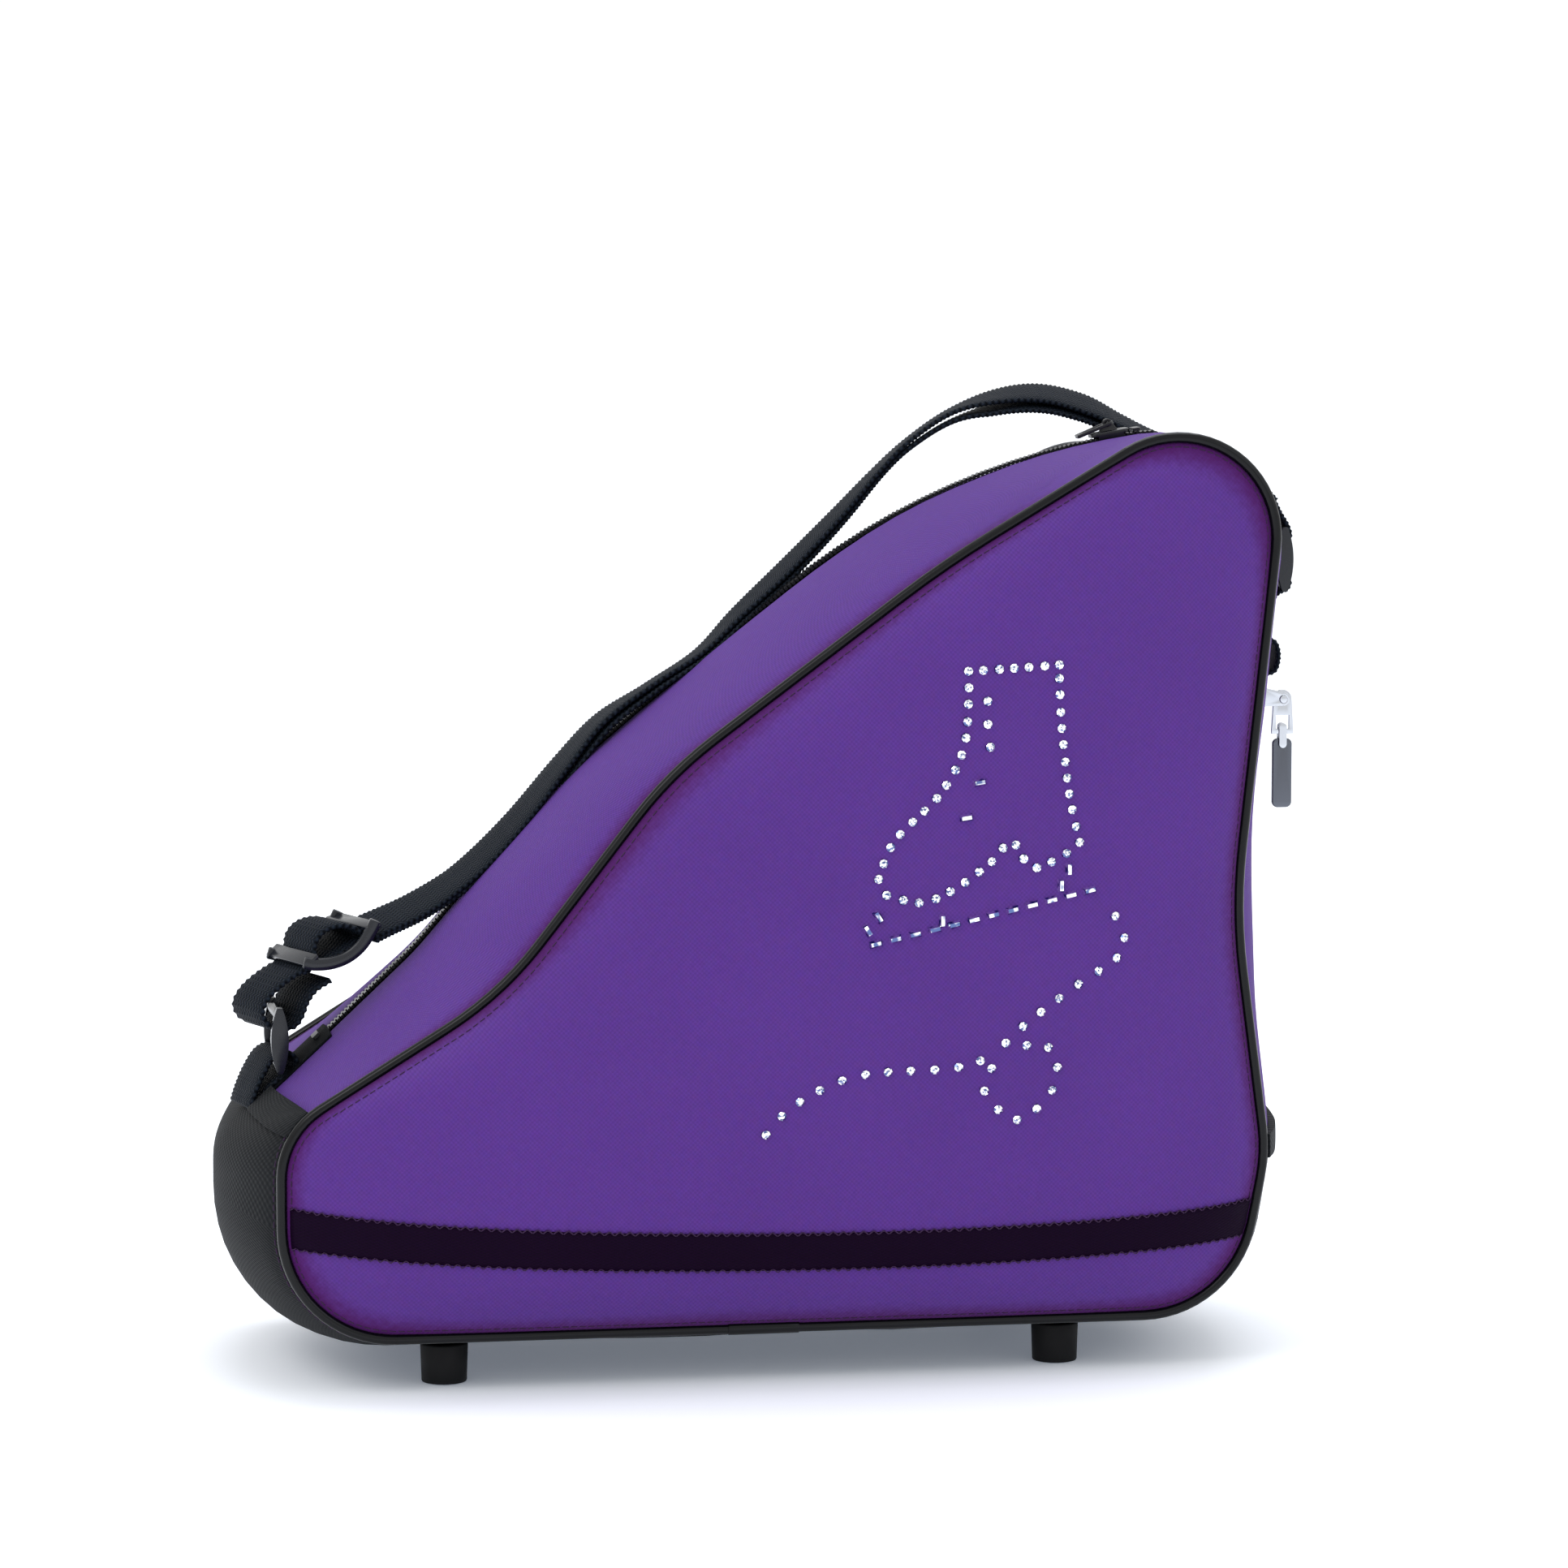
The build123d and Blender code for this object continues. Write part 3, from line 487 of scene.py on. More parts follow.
def make_materials(colours):
    """Every finish on the bag, by the name that the builders below use."""
    MATERIALS.update({
        # 600-denier polyester, plain woven: matte with a faint dotted grid; threads drawn twice as wide
        "canvas": woven("plain woven polyester canvas", tuple(colours.canvas), (1.7, 1.7), 0.72,
                        shade=tuple(colours.shade)),
        # coated nylon, rib woven: black, a low sheen and fine ribs that follow the wrap
        "base": woven("rib woven coated nylon", tuple(colours.base), (1.6, 4.0), 0.6, depth=0.2, contrast=0.3,
                      sheen=0.0, spec=0.18),
        # polyester satin, woven with long floats: very dark plum with a soft sheen
        "ribbon": woven("woven satin ribbon", tuple(colours.ribbon), (2.6, 1.2), 0.6, sheen=0.0,
                        contrast=0.35, spec=0.12),
        # knitted nylon binding: matte black with a coarse grain
        "binding": woven("knitted nylon binding", tuple(colours.base), (1.6, 1.6), 0.8, depth=0.25,
                         contrast=0.4, sheen=0.0, spec=0.15),
        # polypropylene webbing, woven: blue-black with a cross weave, drawn coarser than real to show, with
        # strong painted light and shade on it
        "webbing": woven("woven polypropylene webbing", tuple(colours.webbing), (2.6, 2.2), 0.55, depth=0.45,
                         contrast=0.95, sheen=0.0, spec=0.12),
        # spun polyester sewing thread: dull, dark plum
        "thread": hard("spun polyester thread", tuple(colours.thread), 0.8, grain=3000.0, depth=0.05),
        # plasticised vinyl, extruded over a cord: smooth, glossy black
        "vinyl": hard("extruded vinyl piping", tuple(colours.vinyl), 0.2, grain=700.0, depth=0.012, ior=1.3),
        # nylon monofilament, wound: satin black
        "coil": hard("wound nylon zipper coil", srgb("#0A0B0F"), 0.32, ior=1.4),
        # woven polyester zipper tape: matte black herringbone, here as fine grain on the flat tape
        "tape": hard("woven polyester zipper tape", srgb("#0A0B0E"), 0.85, grain=1500.0,
                     depth=0.12, ior=1.25),
        # acetal, injection moulded: black with a low even gloss
        "acetal": hard("moulded black acetal", srgb("#12151C"), 0.24, grain=1200.0, depth=0.006),
        # zinc, die cast and nickel plated: mirror bright
        "nickel": hard("nickel plated die-cast zinc", srgb("#C9CCD2"), 0.12, metallic=1.0, grain=500.0,
                       depth=0.003, spread=0.05),
        # zinc, die cast and brushed before plating: grey, soft reflections
        "satin_nickel": hard("brushed nickel plated zinc", srgb("#62656D"), 0.26, metallic=1.0, grain=300.0,
                             depth=0.006, stretch=(1, 1, 0.06)),
        # zinc, die cast and stove enamelled black
        "black_metal": hard("black enamelled zinc", srgb("#0C0D11"), 0.32),
        # leaded glass, cut and foil backed: facets painted bright white or cool blue-grey, as painted
        # reflections
        "crystal": cut_glass("foil backed cut glass with painted reflections"),
        # natural rubber, moulded: matte black
        "rubber": hard("moulded rubber", srgb("#08080A"), 0.6, grain=1000.0, depth=0.02, ior=1.3),
        # polyurethane foam, foamed and cut
        "foam": hard("cut polyurethane foam", srgb("#D8D6D0"), 0.95, grain=1400.0, depth=0.3),
        # polyester taffeta lining, woven
        "lining": hard("woven taffeta lining", srgb("#1A1A20"), 0.7, grain=1600.0, depth=0.06),
        # high-density polyethylene sheet, extruded
        "board": hard("extruded polyethylene board", srgb("#2A2A2C"), 0.5, grain=500.0, depth=0.02),
        # mild steel, turned and zinc plated
        "steel": hard("zinc plated turned steel", srgb("#B8BABD"), 0.3, metallic=1.0, grain=700.0,
                      depth=0.004),
    })


def repaint(finish, *nodes):
    """Gives CAD nodes that stay as they are their finish."""
    for name in nodes:
        mesh = frame["nodes"][name].data
        mesh.materials.clear()
        mesh.materials.append(MATERIALS[finish])


# ---- the builders ---------------------------------------------------------
DOMES = {}


def dome(side):
    """One padded panel: it rolls up from the seam and flattens towards the middle."""
    rings = 30
    sizes = bpy.context.scene.skate_bag_sizes
    shape = inset(between(0, BACK_DROP if side > 0 else 0.0), 0.9)
    loops = []
    for k in range(rings + 1):
        share = 1 - (k / rings) ** 1.6
        loops.append((share, shape))
        shape = blurred(shape, 4)

    def place(i, j):
        share, loop = loops[j]
        spot = PIVOT + (loop[i % ROUND] - PIVOT) * share
        depth = (1 - share ** 6) ** 0.8
        pucker = 0.22 * sin(i * 2.1) * max(0, 1 - abs(share - 0.965) / 0.03)
        soft = 1.3 * noise.noise(Vector((spot.x / 90, spot.y / 90, side * 3.1))) * min(1, (1 - share) * 8)
        return Vector((spot.x, side * (HALF - 0.6 + depth * sizes.bulge / MM + pucker + soft), spot.y))

    def cloth(i, j):
        spot = place(i, j)
        return spot.x, spot.z

    # how far from the seam: the canvas is given its painted shade near it
    def edge(i, j):
        share, loop = loops[j]
        return (1 - share) * (loop[i % ROUND] - PIVOT).length / 100

    return surface(ROUND, rings, place, cloth, edge)


class SKATEBAG_OT_panels(bpy.types.Operator):
    """Build the two padded canvas panels"""
    bl_idname = "skatebag.panels"
    bl_label = "Padded panels"

    def execute(self, context):
        for side, word in ((-1, "front"), (1, "back")):
            bm = dome(side)
            outwards(bm, (0, 0, 150))
            DOMES[word] = BVHTree.FromBMesh(bm)
            padding = context.scene.skate_bag_sizes.padding / MM
            panel = piece(f"{word}_panel_padded", bm, MATERIALS["canvas"], slot="canvas",
                          stands_for=(f"{word}_panel", f"{word}_foam"), thick=padding)
        return {"FINISHED"}


def gusset_shell():
    """The whole crowned band between the two piped seams, before it is cut into its pieces."""
    rows = 40
    stations = [SEAM_EDGE * (2 * j / rows - 1) for j in range(rows + 1)]
    loops = [crown(y) for y in stations]
    far = lengths(rounded(RIDGE) + [rounded(RIDGE)[0]])

    def place(i, j):
        spot = loops[j][i % ROUND]
        inner = min(1, (SEAM_EDGE - abs(stations[j])) / 12)
        ripple = 0.9 * inner * noise.noise(Vector((spot.x / 45, stations[j] / 38, spot.y / 45)))
        away = (spot - PIVOT).normalized() * ripple
        return Vector((spot.x + away.x, stations[j], spot.y + away.y))

    # the last function gives the distance from the piped seams, which places the painted seam shade
    return surface(ROUND, rows, place, lambda i, j: (far[i], stations[j]),
                   lambda i, j: (SEAM_EDGE - abs(stations[j])) / 100)


def gusset_piece(name, wanted, planes, finish, slot, stands_for, **shape):
    """The part of the crowned band that is wanted, cut along planes."""
    bm = gusset_shell()
    cut(bm, planes)
    outwards(bm)
    keep(bm, wanted)
    return piece(name, bm, MATERIALS[finish], slot=slot, stands_for=stands_for, **shape)


class SKATEBAG_OT_gusset(bpy.types.Operator):
    """Build the canvas gusset beside the zippers"""
    bl_idname = "skatebag.gusset"
    bl_label = "Canvas gusset"

    def execute(self, context):
        top = TOE_HEM - 6
        canvas = context.scene.skate_bag_sizes.canvas / MM
        gusset_piece("front_gusset_cloth", lambda x, y, z: x < ZIP_END and z > top and y < -SLOT,
                     ((0, ZIP_END), (2, top), (1, -SLOT)), "canvas", "canvas", ("front_zip_gusset",),
                     thick=canvas)
        gusset_piece("rear_gusset_cloth", lambda x, y, z: x < ZIP_END and z > top and y > SLOT,
                     ((0, ZIP_END), (2, top), (1, SLOT)), "canvas", "canvas", ("rear_zip_gusset",),
                     thick=canvas)
        low, high = 102.0, 258.0
        gusset_piece("heel_gusset_cloth",
                     lambda x, y, z: (x > ZIP_END and z > HEEL_HEM - 6
                                      and not (low < z < high and abs(y) < SLOT)),
                     ((0, ZIP_END), (2, HEEL_HEM - 6), (2, low), (2, high), (1, -SLOT), (1, SLOT)),
                     "canvas", "canvas", ("heel_gusset", "gusset_foam"), thick=canvas)
        return {"FINISHED"}


class SKATEBAG_OT_base(bpy.types.Operator):
    """Build the black wrap round the base and its bound edges"""
    bl_idname = "skatebag.base"
    bl_label = "Base wrap and hems"

    def execute(self, context):
        def wrapped(x, y, z):
            return z < (TOE_HEM if x < 0 else HEEL_HEM)

        gusset_piece("base_wrap_cloth", wrapped, ((0, 0), (2, TOE_HEM), (2, HEEL_HEM)), "base", "base_cloth",
                     ("base_wrap",), thick=1.2, grow=0)
        hem, tab = 8.0, 13.5
        gusset_piece("toe_hem_tape",
                     lambda x, y, z: x < 0 and TOE_HEM - hem < z < TOE_HEM + 0.6 and abs(y) > tab,
                     ((2, TOE_HEM - hem), (2, TOE_HEM + 0.6), (1, tab), (1, -tab)), "base", "binding",
                     ("toe_hem",), thick=2.3, grow=1, bevel=0.5)
        gusset_piece("heel_hem_tape", lambda x, y, z: x > 100 and HEEL_HEM - hem < z < HEEL_HEM + 0.6,
                     ((2, HEEL_HEM - hem), (2, HEEL_HEM + 0.6)), "base", "binding", ("heel_hem",),
                     thick=3.0, grow=1, bevel=0.9)
        gusset_piece("zip_end_patch",
                     lambda x, y, z: x < -166 and z > TOE_HEM + 0.6 and abs(y) < 15 and z < 138,
                     ((0, -166), (2, TOE_HEM + 0.6), (1, 15), (1, -15)), "binding", "binding", (),
                     thick=0.9, grow=1, bevel=0.3)
        return {"FINISHED"}


class SKATEBAG_OT_piping(bpy.types.Operator):
    """Finish the vinyl piping, its join sleeve and the stitches beside it"""
    bl_idname = "skatebag.piping"
    bl_label = "Piping and stitches"

    def execute(self, context):
        repaint("vinyl", "front_piping", "back_piping")
        spacing = context.scene.skate_bag_sizes.stitch / MM
        for side, word in ((-1, "front"), (1, "back")):
            seam = between(0, BACK_DROP if side > 0 else 0.0)
            # stitches on the panel, just inside the piping
            ring = inset(seam, 3.4)
            ring = [Vector((p.x, side * 200, p.y)) for p in ring + ring[:1]]
            bm = bmesh.new()
            line = evenly(ring, spacing)
            for a, b in zip(line, line[1:]):
                spot, normal, _, _ = DOMES[word].ray_cast((a + b) / 2, Vector((0, -side, 0)))
                if spot:
                    along = (b - a) - normal * (b - a).dot(normal)
                    add_stitch(bm, spot + normal * 0.1, along.normalized(), normal)
            # and on the gusset beside it
            lane = SEAM_EDGE - 2.6
            rim = crown(side * lane)
            line = evenly([Vector((p.x, side * lane, p.y)) for p in rim + rim[:1]], spacing)
            for a, b in zip(line, line[1:]):
                along = (b - a).normalized()
                normal = Vector((0, side, 0)).cross(along)
                normal = normal if normal.dot((a - Vector((0, a.y, 150)))) > 0 else -normal
                lift = 1.7 if (a.z < TOE_HEM if a.x < 0 else a.z < HEEL_HEM) else 0.15
                add_stitch(bm, (a + b) / 2 + normal * lift, along, normal)
            piece(f"{word}_seam_stitches", bm, MATERIALS["thread"], slot="binding")
            # a short sleeve where the piping's ends meet
            sleeve = bmesh.new()
            lying = Matrix.Translation((-12, side * HALF, 21.4)) @ Matrix.Rotation(pi / 2, 4, "Y")
            bmesh.ops.create_cone(sleeve, cap_ends=True, segments=20, radius1=SLEEVE_RADIUS,
                                  radius2=SLEEVE_RADIUS, depth=SLEEVE_LENGTH, matrix=lying)
            piece(f"{word}_piping_sleeve", sleeve, MATERIALS["vinyl"], slot="piping", bevel=0.4)
        return {"FINISHED"}


def curve_z(points, x):
    """Height at x of the parabola through three points."""
    total = 0.0
    for i, (xi, zi) in enumerate(points):
        term = zi
        for j, (xj, _) in enumerate(points):
            if i != j:
                term *= (x - xj) / (xi - xj)
        total += term
    return total


class SKATEBAG_OT_ribbon(bpy.types.Operator):
    """Build the satin ribbon across each panel"""
    bl_idname = "skatebag.ribbon"
    bl_label = "Satin ribbon"

    def execute(self, context):
        upper = ((-196, 73), (15, 60), (186, 66))
        lower = ((-196, 58), (15, 46), (182, 52))
        columns, rows = 180, 8
        for side, word in ((-1, "front"), (1, "back")):
            rim = inset(between(0), 3.2)

            def ends(z):
                near = [p.x for p in rim if abs(p.y - z) < 12]
                crossing = []
                for a, b in zip(rim, rim[1:] + rim[:1]):
                    if (a.y - z) * (b.y - z) <= 0 and a.y != b.y:
                        crossing.append(a.x + (b.x - a.x) * (z - a.y) / (b.y - a.y))
                return min(crossing or near), max(crossing or near)

            def spot_at(i, j):
                share, rise = i / columns, j / rows
                left = ends(curve_z(lower, -190) + rise * 15)[0]
                right = ends(curve_z(lower, 178) + rise * 14)[1]
                x = left + share * (right - left)
                z = curve_z(lower, x) + rise * (curve_z(upper, x) - curve_z(lower, x))
                hit, normal, _, _ = DOMES[word].ray_cast(Vector((x, side * 200, z)), Vector((0, -side, 0)))
                return (hit or Vector((x, side * HALF, z))), (normal or Vector((0, side, 0)))

            def place(i, j):
                spot, normal = spot_at(i, j)
                return spot + normal * 0.75

            bm = surface(columns, rows, place, lambda i, j: (place(i, j).x, 15.0 * j / rows))
            outwards(bm, (0, 0, 60))
            piece(f"{word}_ribbon_satin", bm, MATERIALS["ribbon"], slot="ribbon",
                  stands_for=(f"{word}_ribbon",), thick=0.7)
            bm = bmesh.new()
            for row in (0, rows):
                line = evenly([place(i, row) for i in range(columns + 1)], 1.9)
                for k, (a, b) in enumerate(zip(line, line[1:])):
                    lean = Matrix.Rotation(radians(38 if k % 2 else -38), 3, "Y")
                    add_stitch(bm, (a + b) / 2, lean @ (b - a).normalized(), Vector((0, side, 0)), 2.2, 0.26)
            piece(f"{word}_ribbon_stitches", bm, MATERIALS["thread"], slot="binding")
        return {"FINISHED"}


# the figure skate drawn in crystals: (x, z) along each line, and how many stones it has
STONE_LINES = (
    (((61, 268), (79, 269), (95, 270)), 7),
    (((95, 265), (96, 246), (99, 222), (103, 204)), 11),
    (((98, 200), (85, 195), (77, 205), (70, 198), (56, 188), (43, 183), (30, 186)), 14),
    (((27, 192), (33, 206), (50, 223), (59, 240), (61, 262)), 14),
    (((68, 257), (68, 249), (69, 240)), 3),
    (((117, 176), (120, 163), (101, 150), (84, 138), (75, 129), (91, 128), (94, 114), (80, 101),
      (67, 112), (70, 124), (54, 121), (19, 119), (-4, 109), (-15, 98)), 29),
)
BAGUETTE_ROWS = (
    ((26, 168), (107, 186), 12, 12.5), ((65, 227), (60, 214), 2, 8), ((27, 178), (23, 173), 2, -57),
)
STRUTS = ((51, 176), (96, 188), (99, 194))


def seat(x, z, turn=0.0):
    """Where a stone sits on the front panel: its place and the way it faces."""
    spot, normal, _, _ = DOMES["front"].ray_cast(Vector((x, -200, z)), Vector((0, 1, 0)))
    along = Vector((cos(radians(turn)), 0, sin(radians(turn))))
    along = (along - normal * along.dot(normal)).normalized()
    turned = Matrix((along, normal.cross(along), normal)).transposed().to_4x4()
    return Matrix.Translation(spot) @ turned


class SKATEBAG_OT_crystals(bpy.types.Operator):
    """Set the crystals that draw a figure skate on the front panel"""
    bl_idname = "skatebag.crystals"
    bl_label = "Crystals"

    def execute(self, context):
        bm = bmesh.new()
        for points, count in STONE_LINES:
            guide = smooth_line([(x, 0, z) for x, z in points], 0.5)
            for i in range(count):
                at = guide[round(i / (count - 1) * (len(guide) - 1))]
                here = seat(at.x, at.z, 37 * i)
                stone = bmesh.ops.create_uvsphere(bm, u_segments=8, v_segments=6,
                                                  radius=STONE_RADIUS)["verts"]
                bmesh.ops.scale(bm, vec=(1, 1, 0.78), verts=stone)
                bmesh.ops.delete(bm, geom=[v for v in stone if v.co.z < -0.1], context="VERTS")
                stone = [v for v in stone if v.is_valid]
                bmesh.ops.transform(bm, matrix=here @ Matrix.Translation((0, 0, 0.05)), verts=stone)
        bmesh.ops.holes_fill(bm, edges=[e for e in bm.edges if e.is_boundary])
        bmesh.ops.recalc_face_normals(bm, faces=bm.faces)
        piece("round_stones", bm, MATERIALS["crystal"], slot="crystal", stands_for=("round_crystals",),
              smooth=False)

        bm = bmesh.new()
        seats = [(x, z, 90) for x, z in STRUTS]
        for (ax, az), (bx, bz), count, tilt in BAGUETTE_ROWS:
            for i in range(count):
                t = i / (count - 1)
                seats.append((ax + t * (bx - ax), az + t * (bz - az), tilt))
        for x, z, tilt in seats:
            stone = bmesh.ops.create_cube(bm, size=1)["verts"]
            bmesh.ops.scale(bm, vec=BAGUETTE, verts=stone)
            top = [v for v in stone if v.co.z > 0]
            bmesh.ops.scale(bm, vec=(0.74, 0.5, 1), verts=top)
            bmesh.ops.transform(bm, matrix=seat(x, z, tilt) @ Matrix.Translation((0, 0, 0.7)), verts=stone)
        bmesh.ops.recalc_face_normals(bm, faces=bm.faces)
        piece("baguette_stones", bm, MATERIALS["crystal"], slot="crystal", stands_for=("baguette_crystals",),
              smooth=False)
        return {"FINISHED"}


class SKATEBAG_OT_zippers(bpy.types.Operator):
    """Build the zipper coils and finish the tapes, stops, sliders and main pull"""
    bl_idname = "skatebag.zippers"
    bl_label = "Zippers"

    def execute(self, context):
        repaint("tape", "main_zip_tapes", "heel_zip_tapes")
        repaint("black_metal", "main_zip_stops", "heel_zip_stop")
        pitch = context.scene.skate_bag_sizes.tooth / MM
        ridge = [Vector((p.x, 0, p.y)) for p in rounded(RIDGE)]
        runs = (
            ("main_zip_teeth", "main_zip_coil", [p for p in ridge if p.z > 112 and p.x < ZIP_END - 1]),
            ("heel_zip_teeth", "heel_zip_coil", [p for p in ridge if 103 < p.z < 257 and p.x > ZIP_END]),
        )
        for name, node, points in runs:
            points = sorted(points, key=lambda p: p.x if name.startswith("main") else -p.z)
            line = evenly(points, pitch / 2)
            bm = bmesh.new()
            for k in range(1, len(line) - 1):
                side = 1 if k % 2 else -1
                along = (line[k + 1] - line[k - 1]).normalized()
                up = along.cross(Vector((0, 1, 0)))
                up = up if up.dot(line[k] - Vector((0, 0, 150))) > 0 else -up
                turn = Matrix((along, up, Vector((0, 1, 0)))).transposed().to_4x4()
                spot = line[k] + Vector((0, side * 1.35, 0)) - up * 0.15
                bmesh.ops.create_cone(bm, cap_ends=True, segments=8, radius1=0.74, radius2=0.74, depth=3.7,
                                      matrix=Matrix.Translation(spot) @ turn)
            bmesh.ops.recalc_face_normals(bm, faces=bm.faces)
            piece(name, bm, MATERIALS["coil"], slot="zip_coil", stands_for=(node,), smooth=False)
        softened("main_slider", "main_slider", MATERIALS["black_metal"], 0.25)
        softened("main_pull", "main_pull", MATERIALS["black_metal"], 0.2)
        softened("heel_slider", "heel_slider", MATERIALS["nickel"], 0.25)
        return {"FINISHED"}


class SKATEBAG_OT_heel_pull(bpy.types.Operator):
    """Finish the rivet, loop, link and tag that hang from the heel slider"""
    bl_idname = "skatebag.heel_pull"
    bl_label = "Heel pull"

    def execute(self, context):
        softened("pull_rivet", "heel_slider", MATERIALS["nickel"], 0.2)
        softened("pull_loop", "pull_loop", MATERIALS["nickel"], 0.3)
        softened("tag_link", "tag_link", MATERIALS["nickel"], 0.15)
        softened("pull_tag", "pull_tag", MATERIALS["satin_nickel"], 0.4)
        return {"FINISHED"}


def path_xz(points, y):
    return [Vector((x, y, z)) for x, z in points]


class SKATEBAG_OT_rings(bpy.types.Operator):
    """Finish the two moulded rings and build their webbing tabs"""
    bl_idname = "skatebag.rings"
    bl_label = "Rings and tabs"

    def execute(self, context):
        rib = context.scene.skate_bag_sizes.rib / MM
        softened("toe_ring", "toe_ring", MATERIALS["acetal"], 0.6)
        softened("heel_ring", "heel_ring", MATERIALS["acetal"], 0.6)
        # folded round the ring's low bar and sewn under the hem
        toe = ((-199.5, 98), (-197.6, 104), (-194.5, 111), (-190.5, 117.2), (-186, 119.4), (-182.2, 117.5),
               (-181.8, 113.2), (-185, 110.8), (-190, 108), (-194.5, 102), (-196.6, 97.5))
        line = smooth_line(path_xz(toe, 0), 1)
        webbing_piece("toe_tab_webbing", webbing_strip(line, rib, skew=lambda x: 0.2), "toe_ring_tab")
        heel = ((200.6, 271), (203.6, 279), (208.6, 286.2), (212.6, 288.2), (213.7, 291.4), (211.8, 294.0),
                (208.6, 293.6), (206.4, 289.6), (202.4, 281.0), (199.0, 272.0))
        line = smooth_line(path_xz(heel, 28), 1)
        webbing_piece("heel_tab_webbing", webbing_strip(line, rib), "heel_ring_tab")
        # the folded piece that covers the top end of the heel zipper
        fold = ((197.6, 271), (201.4, 269.6), (203.0, 266), (202.9, 261.5), (201.4, 258), (197.8, 257.0))
        line = smooth_line(path_xz(fold, 0), 1)
        webbing_piece("heel_zip_end_fold", webbing_strip(line, rib, 18.0, 1.5), "heel_zip_tab")
        return {"FINISHED"}


TOE_SKEW = 0.36       # the toe end of the strap hangs turned a little to the front

# the strap's middle line: (x, y, z) and how far its top leans towards the front, in degrees
STRAP = (
    (-181, 0, 149.5, 0), (-166, 0, 157.8, 3), (-150, 0, 165.3, 7), (-132, 0, 173.2, 10), (-114, 0, 185, 11),
    (-95, 0, 203.5, 9), (-76, 0, 226.5, 5), (-61, 0, 243.2, 0), (-42, 2, 255.5, -5), (-22, 6, 267.5, -4),
    (-6, 11, 282, 0), (13, 17.5, 298.3, 2), (34, 24, 317.8, 0), (50, 27.5, 334, -4), (63, 28, 346.2, -6),
    (80, 28, 357.5, -4), (99, 28, 363.5, 6), (117, 28, 364.6, 13), (135, 28, 360, 16), (150, 28, 353, 12),
    (166, 28, 347, 4), (184, 28, 342.5, 0), (198, 28, 333, 0), (208, 28, 323, 0),
)


